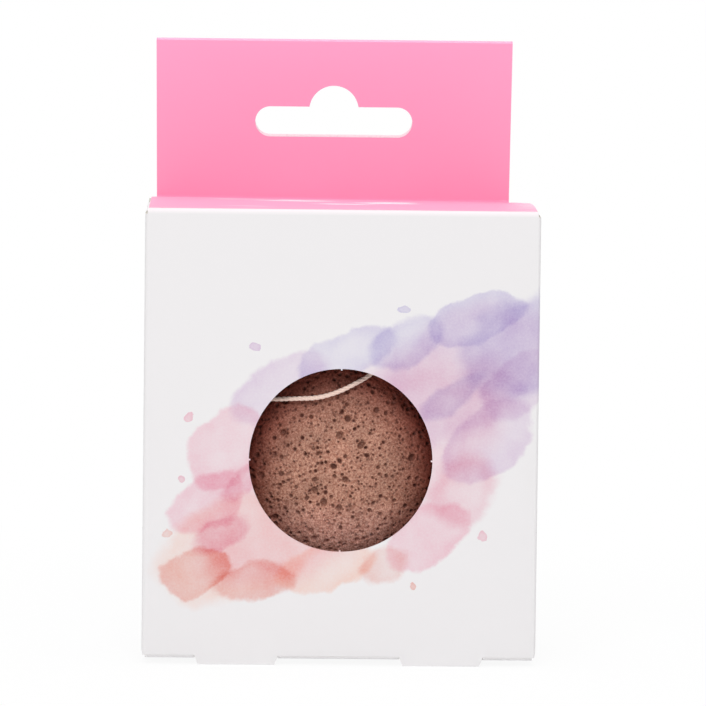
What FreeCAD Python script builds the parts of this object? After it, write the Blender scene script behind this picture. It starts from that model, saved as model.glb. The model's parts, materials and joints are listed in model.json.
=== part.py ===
"""Konjac face sponge in its hanging carton, as a parametric document in millimetres.

X runs to the right across the front, Y from front to back, and Z up. The origin is the middle of
the footprint, level with the tips of the two feet. The carton is one die-cut blank, so its panels
are flat plates that meet at creases: a reverse-tuck carton whose lid hangs on a folded header.
"""
import FreeCAD, Part

import math
import os
import re

import Sketcher

SIZES = [
    ("sponge_diameter", "76"),        # half-ball puff, across its widest ring
    ("sponge_depth", "33.4"),         # flat back to the top of the dome
    ("sponge_rim_radius", "9"),       # rounding between dome and back
    ("sponge_side_room", "1.5"),      # sponge to each side panel
    ("sponge_front_room", "1.2"),     # dome to the front panel
    ("sponge_back_room", "4.4"),      # flat back to the back panel, for the bottom tuck flap
    ("sponge_seat_gap", "0.15"),      # sponge to the bottom panel
    ("sponge_head_room", "13.2"),     # sponge to the top dust flaps
    ("board", "0.5"),                 # thickness of the paperboard
    ("crease_radius", "0.4"),         # rounding on the outside of a crease
    ("crease_gap", "0.12"),           # room in a hinged crease
    ("stack_gap", "0.15"),            # lid or bottom to the dust flaps
    ("tuck_gap", "0.25"),             # tuck flap to the panel that it slides behind
    ("edge_drop", "0.2"),             # free edge of front and back below the closing panel
    ("closure_inset", "0.7"),         # lid and bottom narrower than the carton, each side
    ("closure_corner", "2"),          # rounded free corners of lid and bottom
    ("foot_drop", "1.6"),             # feet below the bottom crease
    ("foot_root", "17"),              # width of a foot at the crease
    ("foot_tip", "15.5"),             # width of a foot at its tip
    ("foot_spacing", "41.6"),         # between the middles of the feet
    ("foot_notch_gap", "0.3"),        # notch in the bottom panel round a foot
    ("window_diameter", "37.2"),      # round window in the front panel
    ("window_rise", "40.2"),          # its centre above the bottom crease
    ("header_height", "33.4"),        # header above the lid
    ("header_inset_left", "1.8"),     # header narrower than the carton, left side
    ("header_inset_right", "4.9"),    # and right side
    ("slot_width", "32.7"),           # hanging slot, end to end
    ("slot_height", "6.3"),           # its straight part
    ("slot_rise", "16.25"),           # slot middle above the lid
    ("slot_bump_radius", "5.15"),     # round bump over the slot
    ("slot_bump_sink", "0.76"),       # bump centre below the slot's upper edge
    ("tuck_length", "12"),            # depth of a tuck flap
    ("tuck_inset", "1.2"),            # tuck flap narrower than its panel, each side
    ("tuck_corner", "6"),             # rounded corners of a tuck flap
    ("tuck_tilt", "12"),              # degrees that a tuck flap leans inwards
    ("dust_tip_gap", "23"),           # between the tips of two dust flaps
    ("dust_tuck_setback", "2.5"),     # dust flap root behind the tuck flap's panel
    ("dust_tuck_taper", "2"),         # further setback at the tip
    ("dust_hinge_setback", "1.5"),    # dust flap root before the closing panel's hinge
    ("dust_hinge_taper", "0.55"),     # slope of its edge on the hinge side
    ("dust_corner", "3"),             # rounded tip corners
    ("glue_flap_width", "14"),
    ("glue_flap_setback", "4"),       # glue flap shorter than the side panel at each end
    ("string_diameter", "1"),
    ("string_hole_gap", "0.3"),       # string to the wall of its hole in the sponge
    ("string_hole_across", "10"),     # hole to the right of the middle
    ("string_hole_inset", "8.25"),    # hole below the top of the sponge
    ("string_core_front", "-5.1"),    # front mouth of the hole, along Y
    ("knot_length", "3.6"),
    ("knot_diameter", "3"),
    ("knot_end_diameter", "1.8"),
    ("knot_gap", "0.05"),             # knot to the string that runs through it
]

# What follows from the driving sizes, in the order in which each needs the ones before.
DERIVED = [
    ("carton_width", "sponge_diameter + 2 * (sponge_side_room + board)"),
    ("carton_depth", "sponge_depth + sponge_front_room + sponge_back_room + 2 * board"),
    ("carton_height", "sponge_diameter + sponge_seat_gap + sponge_head_room + 3 * board + stack_gap"),
    ("half_width", "carton_width / 2"),
    ("half_depth", "carton_depth / 2"),
    ("lid_top", "foot_drop + carton_height"),
    ("side_bottom", "foot_drop + board + stack_gap"),
    ("side_top", "lid_top - board - stack_gap"),
    ("fold", "min(crease_radius; 0.9 * board)"),
    ("closure_width", "carton_width - 2 * closure_inset"),
    ("lid_hinge", "half_depth - 2 * board - crease_gap"),
    ("lid_front", "-half_depth + board + tuck_gap"),
    ("bottom_front", "-half_depth + board + crease_gap"),
    ("bottom_rear", "half_depth - 2 * board - tuck_gap"),
    ("foot_notch", "foot_drop + foot_notch_gap"),
    ("header_left", "-half_width + header_inset_left"),
    ("header_right", "half_width - header_inset_right"),
    ("header_middle", "(header_left + header_right) / 2"),
    ("header_top", "lid_top + header_height"),
    ("slot_middle", "lid_top + slot_rise"),
    ("slot_round", "slot_height / 2"),
    ("slot_round_offset", "slot_width / 2 - slot_round"),
    ("slot_bump_middle", "slot_middle + slot_round - slot_bump_sink"),
    ("dust_length", "(carton_width - 2 * board - dust_tip_gap) / 2"),
    ("dust_hinge_slope", "dust_hinge_taper * dust_length"),
    ("sponge_radius", "sponge_diameter / 2"),
    ("sponge_middle", "foot_drop + board + sponge_seat_gap + sponge_radius"),
    ("sponge_front", "-half_depth + board + sponge_front_room"),
    ("sponge_back", "sponge_front + sponge_depth"),
    ("string_hole", "string_diameter + 2 * string_hole_gap"),
    ("string_hole_up", "sponge_middle + sponge_radius - string_hole_inset"),
]

# Middle line of the free string between the two mouths of its hole: up over the rim of the sponge,
# down its left shoulder, across the dome behind the window and up again. Each point is across and
# up from the hole's own line, with Y as in the carton.
STRING_ROUTE = [
    (0.0, 17.0, 0.0),
    (-0.1, 18.2, 1.8),
    (-0.3, 18.2, 4.4),
    (-0.8, 16.0, 7.6),
    (-2.4, 12.0, 9.6),
    (-6.0, 8.6, 10.4),
    (-12.6, 6.8, 10.2),
    (-19.0, 5.2, 9.0),
    (-25.0, 2.6, 6.4),
    (-30.4, -0.2, 2.2),
    (-34.6, -1.8, -3.4),
    (-36.8, -4.4, -9.4),
    (-34.8, -8.8, -14.2),
    (-30.0, -12.6, -16.4),
    (-24.2, -15.1, -16.2),
    (-19.2, -16.4, -15.8),
    (-14.7, -17.0, -15.2),
    (-10.7, -16.9, -14.2),
    (-7.8, -16.4, -12.9),
    (-3.9, -15.2, -10.8),
    (-0.8, -13.2, -7.8),
    (0.7, -11.2, -4.2),
    (0.6, -9.2, -1.0),
    (0.0, -7.1, 0.0),
]
KNOT_RUN = 6                          # the knot sits halfway along this run of the string
ARC_SHARE = 0.45                      # part of a run that the arc at its end may take

doc = FreeCAD.newDocument("KonjacSponge")
sheet = doc.addObject("Spreadsheet::Sheet", "Sizes")
for row, (alias, text) in enumerate(SIZES + DERIVED, start=1):
    cell = f"B{row}"
    sheet.set(f"A{row}", alias)
    sheet.set(cell, text if row <= len(SIZES) else f"={text}")
    sheet.setAlias(cell, alias)
doc.recompute()

ALIASES = {alias for alias, text in SIZES + DERIVED}
nodes = []


def value(text):
    """The number that an expression in the sheet's aliases comes to."""
    return float(sheet.evalExpression(text))


def bind(thing, prop, text):
    """Bind a property of a document object to an expression in the sheet's aliases."""
    named = re.sub(r"[a-z_]+", lambda word: f"Sizes.{word[0]}" if word[0] in ALIASES else word[0], text)
    thing.setExpression(prop, named)


def new_body(label, x="0", y="0", z="0", tilt="0"):
    """A body at a place, turned about the X axis by tilt degrees."""
    body = doc.addObject("PartDesign::Body", label)
    body.Label = label
    body.Placement = FreeCAD.Placement(FreeCAD.Vector(), FreeCAD.Rotation(FreeCAD.Vector(1, 0, 0), value(tilt)))
    for axis, text in (("x", x), ("y", y), ("z", z)):
        bind(body, f"Placement.Base.{axis}", text)
    if tilt != "0":
        bind(body, "Placement.Rotation.Angle", tilt)
    nodes.append(body)
    return body


def new_sketch(body, plane, name):
    """An empty sketch on one of the body's own origin planes."""
    sketch = body.newObject("Sketcher::SketchObject", f"{body.Label}_{name}")
    support = next(feature for feature in body.Origin.OriginFeatures if feature.Role == plane)
    sketch.AttachmentSupport = [(support, "")]
    sketch.MapMode = "FlatFace"
    return sketch


def constrain(sketch, kind, text, *where):
    """Add one dimension to a sketch, bound to an expression."""
    index = sketch.addConstraint(Sketcher.Constraint(kind, *where, value(text)))
    bind(sketch, f"Constraints[{index}]", text)


def draw_outline(sketch, corners):
    """Draw a closed outline of straight lines through corners given as expressions."""
    first = sketch.GeometryCount
    points = [FreeCAD.Vector(value(across), value(up), 0) for across, up in corners]
    for start, end in zip(points, points[1:] + points[:1]):
        sketch.addGeometry(Part.LineSegment(start, end), False)
    for index, (across, up) in enumerate(corners):
        line = first + index
        following = first + (index + 1) % len(corners)
        sketch.addConstraint(Sketcher.Constraint("Coincident", line, 2, following, 1))
        constrain(sketch, "DistanceX", across, -1, 1, line, 1)
        constrain(sketch, "DistanceY", up, -1, 1, line, 1)


def draw_circle(sketch, across, up, radius):
    """Draw a circle whose centre and radius are expressions."""
    centre = FreeCAD.Vector(value(across), value(up), 0)
    circle = sketch.addGeometry(Part.Circle(centre, FreeCAD.Vector(0, 0, 1), value(radius)), False)
    constrain(sketch, "DistanceX", across, -1, 1, circle, 3)
    constrain(sketch, "DistanceY", up, -1, 1, circle, 3)
    constrain(sketch, "Radius", radius, circle)


def pad_board(body, plane, corners):
    """Pad one board thickness from an outline on an origin plane."""
    sketch = new_sketch(body, plane, "outline")
    draw_outline(sketch, corners)
    pad = body.newObject("PartDesign::Pad", f"{body.Label}_board")
    pad.Profile = sketch
    bind(pad, "Length", "board")
    doc.recompute()
    return pad


def cut_through(body, sketch, name):
    """Cut a sketch through the whole body, and make sure that it cuts."""
    before = body.Shape.Volume
    pocket = body.newObject("PartDesign::Pocket", f"{body.Label}_{name}")
    pocket.Profile = sketch
    pocket.Type = "ThroughAll"
    doc.recompute()
    if body.Shape.Volume > before * 0.9999:
        pocket.Reversed = True
        doc.recompute()
    if body.Shape.Volume > before * 0.9999:
        raise RuntimeError(f"{name} cuts nothing from {body.Label}")
    return pocket


def round_edges(body, name, radius, wanted):
    """Round the edges of the body's last feature whose middles are wanted."""
    base = body.Tip
    chosen = []
    for index, edge in enumerate(base.Shape.Edges, start=1):
        if wanted(edge.CenterOfMass, edge.BoundBox):
            chosen.append(f"Edge{index}")
    fillet = body.newObject("PartDesign::Fillet", f"{body.Label}_{name}")
    fillet.Base = (base, chosen)
    bind(fillet, "Radius", radius)
    doc.recompute()
    return fillet


def near(one, other):
    """Whether two lengths are the same to a hundredth of a millimetre."""
    return abs(one - other) < 0.01


def upright(box):
    """Whether an edge's box shows that it runs along the body's own Z axis only."""
    return box.XLength < 0.01 and box.YLength < 0.01


def front_panel():
    """White front with the round window, and two feet that carry on below the bottom crease."""
    body = new_body("front_panel", y="-half_depth + board")
    feet = []
    for middle in ("-foot_spacing / 2", "foot_spacing / 2"):
        feet.append((f"{middle} - foot_root / 2", "foot_drop"))
        feet.append((f"{middle} - foot_tip / 2", "0"))
        feet.append((f"{middle} + foot_tip / 2", "0"))
        feet.append((f"{middle} + foot_root / 2", "foot_drop"))
    pad_board(body, "XZ_Plane", [
        ("-half_width", "foot_drop"),
        *feet,
        ("half_width", "foot_drop"),
        ("half_width", "lid_top - edge_drop"),
        ("-half_width", "lid_top - edge_drop"),
    ])
    outside = -value("board")
    side = value("half_width")
    round_edges(body, "creases", "fold", lambda middle, box: (
        near(middle.y, outside) and upright(box) and near(abs(middle.x), side)))
    sketch = new_sketch(body, "XZ_Plane", "window")
    draw_circle(sketch, "0", "foot_drop + window_rise", "window_diameter / 2")
    cut_through(body, sketch, "window")


def back_panel():
    """Plain back; its left edge is the cut edge that is glued over the glue flap."""
    body = new_body("back_panel", y="half_depth")
    pad_board(body, "XZ_Plane", [
        ("-half_width", "foot_drop + edge_drop"),
        ("half_width", "foot_drop + edge_drop"),
        ("half_width", "lid_top"),
        ("-half_width", "lid_top"),
    ])
    side = value("half_width")
    round_edges(body, "crease", "fold", lambda middle, box: (
        near(middle.y, 0) and upright(box) and near(middle.x, side)))


def side_panel(label, x):
    """A narrow side between front and back."""
    body = new_body(label, x=x)
    pad_board(body, "YZ_Plane", [
        ("-half_depth + board", "side_bottom"),
        ("half_depth - board", "side_bottom"),
        ("half_depth - board", "side_top"),
        ("-half_depth + board", "side_top"),
    ])


def glue_flap():
    """Seam flap of the left side, inside the back panel."""
    body = new_body("glue_flap", y="half_depth - board")
    root = "-half_width + board"
    tip = "-half_width + board + glue_flap_width"
    pad_board(body, "XZ_Plane", [
        (root, "side_bottom + glue_flap_setback / 2"),
        (tip, "side_bottom + glue_flap_setback"),
        (tip, "side_top - glue_flap_setback"),
        (root, "side_top - glue_flap_setback / 2"),
    ])


def header_ply(label, y, bottom, outside):
    """One ply of the header, with the hanging slot and half of the fold along its top."""
    body = new_body(label, y=y)
    pad_board(body, "XZ_Plane", [
        ("header_left", bottom),
        ("header_right", bottom),
        ("header_right", "header_top"),
        ("header_left", "header_top"),
    ])
    face = value(outside)
    top = value("header_top")
    round_edges(body, "fold", "fold", lambda middle, box: near(middle.y, face) and near(middle.z, top))
    straight = new_sketch(body, "XZ_Plane", "slot")
    draw_outline(straight, [
        ("header_middle - slot_round_offset", "slot_middle - slot_round"),
        ("header_middle + slot_round_offset", "slot_middle - slot_round"),
        ("header_middle + slot_round_offset", "slot_middle + slot_round"),
        ("header_middle - slot_round_offset", "slot_middle + slot_round"),
    ])
    cut_through(body, straight, "slot_cut")
    rounds = new_sketch(body, "XZ_Plane", "slot_rounds")
    draw_circle(rounds, "header_middle - slot_round_offset", "slot_middle", "slot_round")
    draw_circle(rounds, "header_middle + slot_round_offset", "slot_middle", "slot_round")
    draw_circle(rounds, "header_middle", "slot_bump_middle", "slot_bump_radius")
    cut_through(body, rounds, "slot_rounds_cut")


def lid():
    """Lid that hangs on the front ply of the header and folds forwards."""
    body = new_body("lid", z="lid_top - board")
    pad_board(body, "XY_Plane", [
        ("-closure_width / 2", "lid_front"),
        ("closure_width / 2", "lid_front"),
        ("closure_width / 2", "lid_hinge"),
        ("-closure_width / 2", "lid_hinge"),
    ])
    rear = value("lid_hinge")
    round_edges(body, "corners", "closure_corner", lambda middle, box: upright(box) and near(middle.y, rear))
    front = value("lid_front")
    upper = value("board")
    round_edges(body, "crease", "fold", lambda middle, box: near(middle.y, front) and near(middle.z, upper))


def bottom_panel():
    """Bottom that hangs on the front panel's bottom crease, notched round the two feet."""
    body = new_body("bottom_panel", z="foot_drop")
    notches = []
    for middle in ("-foot_spacing / 2", "foot_spacing / 2"):
        left = f"{middle} - foot_root / 2 - foot_notch_gap"
        right = f"{middle} + foot_root / 2 + foot_notch_gap"
        notches.append((left, "bottom_front"))
        notches.append((left, "-half_depth + foot_notch"))
        notches.append((right, "-half_depth + foot_notch"))
        notches.append((right, "bottom_front"))
    pad_board(body, "XY_Plane", [
        ("-closure_width / 2", "bottom_front"),
        *notches,
        ("closure_width / 2", "bottom_front"),
        ("closure_width / 2", "bottom_rear"),
        ("-closure_width / 2", "bottom_rear"),
    ])
    rear = value("bottom_rear")
    round_edges(body, "crease", "fold", lambda middle, box: near(middle.y, rear) and near(middle.z, 0))


def tuck_flap(label, y, z, rise):
    """A tuck flap on its crease; rise is 1 for a flap that points up and -1 for one that hangs."""
    body = new_body(label, y=y, z=z, tilt="tuck_tilt")
    root = "closure_width / 2 - tuck_inset"
    pad = pad_board(body, "XZ_Plane", [
        (f"-({root})", "0"),
        (root, "0"),
        (root, f"{rise} * tuck_length"),
        (f"-({root})", f"{rise} * tuck_length"),
    ])
    pad.Reversed = rise > 0
    doc.recompute()
    tip = rise * value("tuck_length")
    round_edges(body, "corners", "tuck_corner", lambda middle, box: (
        box.XLength < 0.01 and box.ZLength < 0.01 and near(middle.z, tip)))


def dust_flap(label, side, z, tuck_edge, hinge_edge, inwards):
    """A dust flap on a side panel. side is -1 or 1 along X, and inwards is 1 if the tuck is in front."""
    body = new_body(label, z=z)
    root = f"{side} * (half_width - board - crease_gap)"
    tip = f"{side} * (half_width - board - dust_length)"
    pad_board(body, "XY_Plane", [
        (root, f"{tuck_edge} + {inwards} * dust_tuck_setback"),
        (tip, f"{tuck_edge} + {inwards} * (dust_tuck_setback + dust_tuck_taper)"),
        (tip, f"{hinge_edge} - {inwards} * (dust_hinge_setback + dust_hinge_slope)"),
        (root, f"{hinge_edge} - {inwards} * dust_hinge_setback"),
    ])
    end = value(tip)
    round_edges(body, "corners", "dust_corner", lambda middle, box: upright(box) and near(middle.x, end))


def sponge():
    """Half-ball puff, dome to the front, standing on its rim, with the hole for its string."""
    body = new_body("sponge", z="sponge_middle")
    profile = new_sketch(body, "XY_Plane", "profile")
    front = value("sponge_front")
    back = value("sponge_back")
    rim = value("sponge_rim_radius")
    rim_across = value("sponge_radius") - rim
    rim_along = back - rim
    # The dome's arc starts square to the axis and runs into the rim's arc without a corner.
    reach = rim_along - front
    dome = (rim_across ** 2 + reach ** 2 - rim ** 2) / (2 * (reach - rim))
    centre = FreeCAD.Vector(0, front + dome, 0)
    rim_centre = FreeCAD.Vector(rim_across, rim_along, 0)
    outwards = (rim_centre - centre).normalize()
    axis = FreeCAD.Vector(0, 0, 1)
    turn = math.atan2(outwards.y, outwards.x)
    dome_arc = profile.addGeometry(
        Part.ArcOfCircle(Part.Circle(centre, axis, dome), -math.pi / 2, turn), False)
    rim_arc = profile.addGeometry(
        Part.ArcOfCircle(Part.Circle(rim_centre, axis, rim), turn, math.pi / 2), False)
    back_line = profile.addGeometry(
        Part.LineSegment(FreeCAD.Vector(rim_across, back, 0), FreeCAD.Vector(0, back, 0)), False)
    axis_line = profile.addGeometry(
        Part.LineSegment(FreeCAD.Vector(0, back, 0), FreeCAD.Vector(0, front, 0)), False)
    profile.addConstraint(Sketcher.Constraint("Tangent", dome_arc, 2, rim_arc, 1))
    profile.addConstraint(Sketcher.Constraint("Tangent", rim_arc, 2, back_line, 1))
    profile.addConstraint(Sketcher.Constraint("Coincident", back_line, 2, axis_line, 1))
    profile.addConstraint(Sketcher.Constraint("Coincident", axis_line, 2, dome_arc, 1))
    profile.addConstraint(Sketcher.Constraint("PointOnObject", dome_arc, 3, -2))
    profile.addConstraint(Sketcher.Constraint("PointOnObject", back_line, 2, -2))
    profile.addConstraint(Sketcher.Constraint("PointOnObject", dome_arc, 1, -2))
    constrain(profile, "DistanceY", "sponge_front", -1, 1, dome_arc, 1)
    constrain(profile, "DistanceY", "sponge_back", -1, 1, back_line, 2)
    constrain(profile, "DistanceX", "sponge_radius - sponge_rim_radius", -1, 1, rim_arc, 3)
    constrain(profile, "Radius", "sponge_rim_radius", rim_arc)
    turned = body.newObject("PartDesign::Revolution", "sponge_puff")
    turned.Profile = profile
    turned.ReferenceAxis = (profile, ["V_Axis"])
    turned.Angle = 360
    doc.recompute()
    hole = new_sketch(body, "XZ_Plane", "hole")
    draw_circle(hole, "string_hole_across", "string_hole_up - sponge_middle", "string_hole / 2")
    before = body.Shape.Volume
    pocket = body.newObject("PartDesign::Pocket", "sponge_string_hole")
    pocket.Profile = hole
    pocket.Type = "ThroughAll"
    pocket.Midplane = True
    doc.recompute()
    print(f"string hole takes {before - body.Shape.Volume:.1f} mm3 from the sponge")


def rounded_path(points):
    """Straight runs through points, joined by arcs as large as the runs allow, and the arcs' radii."""
    edges = []
    radii = []
    start = points[0]
    for before, corner, after in zip(points, points[1:], points[2:]):
        inward = (before - corner).normalize()
        outward = (after - corner).normalize()
        half_turn = (math.pi - inward.getAngle(outward)) / 2
        reach = ARC_SHARE * min((before - corner).Length, (after - corner).Length)
        radius = reach / math.tan(half_turn)
        bisector = (inward + outward).normalize()
        first = corner + inward * reach
        last = corner + outward * reach
        middle = corner + bisector * (radius / math.cos(half_turn) - radius)
        edges.append(Part.LineSegment(start, first).toShape())
        edges.append(Part.Arc(first, middle, last).toShape())
        radii.append(radius)
        start = last
    edges.append(Part.LineSegment(start, points[-1]).toShape())
    return Part.Wire(edges), radii


def round_tube(path, diameter):
    """A round tube along a path, with its volume compared with section times length."""
    start = path.Edges[0].Vertexes[0].Point
    along = path.Edges[0].tangentAt(path.Edges[0].FirstParameter)
    ring = Part.Wire([Part.Circle(start, along, diameter / 2).toShape()])
    tube = path.makePipeShell([ring], True, False)
    expected = math.pi * diameter ** 2 / 4 * path.Length
    print(f"string: {path.Length:.1f} mm long, volume {tube.Volume:.2f} of {expected:.2f} mm3")
    if abs(tube.Volume - expected) > 0.02 * expected:
        raise RuntimeError("the string's tube has the wrong volume")
    return tube


def add_shape(label, shape):
    """A sub-part whose shape is set directly."""
    feature = doc.addObject("Part::Feature", label)
    feature.Label = label
    feature.Shape = shape
    nodes.append(feature)


def string_points():
    """Points of the free string's middle line, from the hole's rear mouth to its front mouth."""
    across = value("string_hole_across")
    up = value("string_hole_up")
    chosen = [FreeCAD.Vector(across + x, y, up + z) for x, y, z in STRING_ROUTE]
    rear_mouth = FreeCAD.Vector(across, value("sponge_back"), up)
    front_mouth = FreeCAD.Vector(across, value("string_core_front"), up)
    return [rear_mouth, *chosen, front_mouth]


def hang_string():
    """Free stretch of the cotton string."""
    path, radii = rounded_path(string_points())
    print("string radii", " ".join(f"{radius:.1f}" for radius in radii))
    add_shape("hang_string", round_tube(path, value("string_diameter")))


def string_core():
    """Straight stretch of the string inside the sponge."""
    core = doc.addObject("Part::Cylinder", "string_core")
    core.Label = "string_core"
    core.Placement = FreeCAD.Placement(FreeCAD.Vector(), FreeCAD.Rotation(FreeCAD.Vector(1, 0, 0), -90))
    bind(core, "Radius", "string_diameter / 2")
    bind(core, "Height", "sponge_back - string_core_front")
    bind(core, "Placement.Base.x", "string_hole_across")
    bind(core, "Placement.Base.y", "string_core_front")
    bind(core, "Placement.Base.z", "string_hole_up")
    nodes.append(core)


def string_knot():
    """Barrel of the knot that closes the loop, round the string on its way over the rim."""
    start, end = string_points()[KNOT_RUN:KNOT_RUN + 2]
    body = doc.addObject("PartDesign::Body", "string_knot")
    body.Label = "string_knot"
    nodes.append(body)
    profile = new_sketch(body, "XZ_Plane", "profile")
    draw_outline(profile, [
        ("string_diameter / 2 + knot_gap", "-knot_length / 2"),
        ("knot_end_diameter / 2", "-knot_length / 2"),
        ("knot_diameter / 2", "-knot_length / 6"),
        ("knot_diameter / 2", "knot_length / 6"),
        ("knot_end_diameter / 2", "knot_length / 2"),
        ("string_diameter / 2 + knot_gap", "knot_length / 2"),
    ])
    turned = body.newObject("PartDesign::Revolution", "string_knot_barrel")
    turned.Profile = profile
    turned.ReferenceAxis = (profile, ["V_Axis"])
    turned.Angle = 360
    doc.recompute()
    body.Placement = FreeCAD.Placement(
        (start + end) / 2, FreeCAD.Rotation(FreeCAD.Vector(0, 0, 1), end - start))


front_panel()
side_panel("left_side_panel", "-half_width")
side_panel("right_side_panel", "half_width - board")
back_panel()
glue_flap()
header_ply("header_rear_ply", "half_depth", "lid_top", "0")
header_ply("header_front_ply", "half_depth - board", "lid_top - board", "-board")
lid()
tuck_flap("lid_tuck_flap", "lid_front + board", "lid_top - board - crease_gap", -1)
dust_flap("top_dust_flap_left", -1, "side_top - board", "lid_front", "lid_hinge", 1)
dust_flap("top_dust_flap_right", 1, "side_top - board", "lid_front", "lid_hinge", 1)
bottom_panel()
tuck_flap("bottom_tuck_flap", "bottom_rear - board", "foot_drop + board + crease_gap", 1)
dust_flap("bottom_dust_flap_left", -1, "side_bottom", "bottom_rear", "bottom_front", -1)
dust_flap("bottom_dust_flap_right", 1, "side_bottom", "bottom_rear", "bottom_front", -1)
sponge()
hang_string()
string_core()
string_knot()
doc.recompute()

for thing in doc.Objects:
    if "Invalid" in thing.State or "Error" in thing.State:
        raise RuntimeError(f"{thing.Label} did not build: {thing.State}")
for node in nodes:
    if node.Shape.isNull() or not node.Shape.isValid() or not node.Shape.Solids:
        raise RuntimeError(f"{node.Label} has no sound shape")

os.makedirs("parts", exist_ok=True)
for node in nodes:
    node.Shape.exportStep(f"parts/{node.Label}.step")
print(f"{len(nodes)} sub-parts written")
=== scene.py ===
"""Boxed konjac face sponge: the looks of the carton, the sponge and its string.

Sizes are written in millimetres and turned to metres as they are used. X runs to the right across
the front, Y from front to back and Z up, with the origin under the middle of the carton.
"""
import json
import logging
import math
from collections.abc import Callable
from dataclasses import dataclass, field
from enum import Enum

import bmesh
import bpy
import numpy as np
from bpy.types import Curve, Material, Node, NodeSocket, NodeTree, Object
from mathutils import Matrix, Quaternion, Vector, kdtree, noise

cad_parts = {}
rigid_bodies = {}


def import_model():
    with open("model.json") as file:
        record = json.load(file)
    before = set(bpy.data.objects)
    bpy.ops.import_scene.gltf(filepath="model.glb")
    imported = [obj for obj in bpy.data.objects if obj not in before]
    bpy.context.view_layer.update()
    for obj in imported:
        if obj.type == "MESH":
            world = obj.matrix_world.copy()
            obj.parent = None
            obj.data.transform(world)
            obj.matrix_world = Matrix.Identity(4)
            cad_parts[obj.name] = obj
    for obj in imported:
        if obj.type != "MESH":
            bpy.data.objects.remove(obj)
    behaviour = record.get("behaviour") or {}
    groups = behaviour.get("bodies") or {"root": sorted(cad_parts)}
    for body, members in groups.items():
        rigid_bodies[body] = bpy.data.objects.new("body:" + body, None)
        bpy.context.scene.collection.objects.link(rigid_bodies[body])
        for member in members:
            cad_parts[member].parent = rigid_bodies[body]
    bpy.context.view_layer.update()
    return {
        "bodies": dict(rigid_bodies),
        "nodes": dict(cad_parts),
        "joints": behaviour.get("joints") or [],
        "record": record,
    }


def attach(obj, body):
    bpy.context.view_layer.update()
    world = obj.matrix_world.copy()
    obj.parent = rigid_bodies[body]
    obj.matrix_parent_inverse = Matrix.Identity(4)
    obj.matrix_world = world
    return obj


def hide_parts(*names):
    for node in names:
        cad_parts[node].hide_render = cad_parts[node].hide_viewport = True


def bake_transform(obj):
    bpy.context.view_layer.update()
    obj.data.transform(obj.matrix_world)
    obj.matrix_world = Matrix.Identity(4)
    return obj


MM = 0.001
# A corner or an edge counts as lying at a place when it is this near to it, in millimetres.
NEAR = 0.02
# Faces that meet at a sharper angle than this keep a hard edge, in degrees.
HARD_EDGE = 35.0
# Attribute that says where a point lies in the closed carton.
REST_PLACE = "rest_place"
LOG = logging.getLogger("boxed_sponge")

Pair = tuple[float, float]
Triple = tuple[float, float, float]


class Pick(Enum):
    """What an edit-mode selection is made of."""

    VERTEX = "VERT"
    EDGE = "EDGE"
    FACE = "FACE"


class Face(Enum):
    """Place of a material in a board piece: print outside, bare fibre inside and on cut edges."""

    PRINT = 0
    FIBRE = 1


class Axis(Enum):
    """Direction in the carton: across, from front to back, and up."""

    X = 0
    Y = 1
    Z = 2


class Hand(Enum):
    """Side of the carton, as the sign of X."""

    LEFT = -1
    RIGHT = 1


class End(Enum):
    """End of the carton, as the sign of Z."""

    TOP = 1
    BOTTOM = -1


class Line(Enum):
    """How a curve runs by its points."""

    SMOOTH = "NURBS"
    STRAIGHT = "POLY"


class Ink(Enum):
    """Colours of the watercolour print, and the near white of the lid's pale streaks, which are partly board
    where the ink is worn off and partly painted highlight.
    """

    LAVENDER = "#c9c0e8"
    LILAC = "#e2c9e6"
    PINK = "#f7bccd"
    ROSE = "#ec7fa4"
    CORAL = "#ef937f"
    PEACH = "#ffd6c6"
    WORN_AND_HIGHLIT = "#fffafb"


def mm(*lengths: float) -> tuple[float, ...]:
    """Turn millimetres into metres."""
    return tuple(length * MM for length in lengths)


def pitch(size: float) -> float:
    """Say how often a pattern of a size in millimetres repeats in a metre."""
    return 1 / (size * MM)


def linear(colour: str) -> tuple[float, float, float, float]:
    """Turn an sRGB hex colour into linear RGBA.

    Args:
        colour: six hex digits after a hash.

    Returns:
        Linear red, green and blue, and an alpha of 1.
    """
    parts = [int(colour[index:index + 2], 16) / 255 for index in (1, 3, 5)]
    return (*[part / 12.92 if part <= 0.04045 else ((part + 0.055) / 1.055) ** 2.4 for part in parts], 1.0)


def add_node(tree: NodeTree, kind: str, feeds: dict | None = None, **settings: object) -> Node:
    """Add a shader node with its settings and links.

    Args:
        tree: node tree that gets the node.
        kind: the node's type, without the words that all types start with.
        feeds: per input name or number, a socket to link or a value to set.
        settings: properties of the node itself.

    Returns:
        The new node.
    """
    node = tree.nodes.new(f"ShaderNode{kind}")
    for name, setting in settings.items():
        setattr(node, name, setting)
    for name, feed in (feeds or {}).items():
        if isinstance(feed, NodeSocket):
            tree.links.new(feed, node.inputs[name])
        else:
            node.inputs[name].default_value = feed
    return node


def new_material(name: str) -> tuple[Material, NodeTree, Node]:
    """Start a material.

    Args:
        name: the material's name.

    Returns:
        The material, its node tree and its shader node.
    """
    material = bpy.data.materials.new(name)
    material.use_nodes = True
    return material, material.node_tree, material.node_tree.nodes["Principled BSDF"]


def deselect_all() -> None:
    """Leave edit mode and clear the selection."""
    if bpy.context.object and bpy.context.object.mode != "OBJECT":
        bpy.ops.object.mode_set(mode="OBJECT")
    bpy.ops.object.select_all(action="DESELECT")


def make_active(piece: Object) -> None:
    """Select one piece alone and make it active.

    Args:
        piece: the piece.
    """
    deselect_all()
    piece.select_set(True)
    bpy.context.view_layer.objects.active = piece


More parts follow.
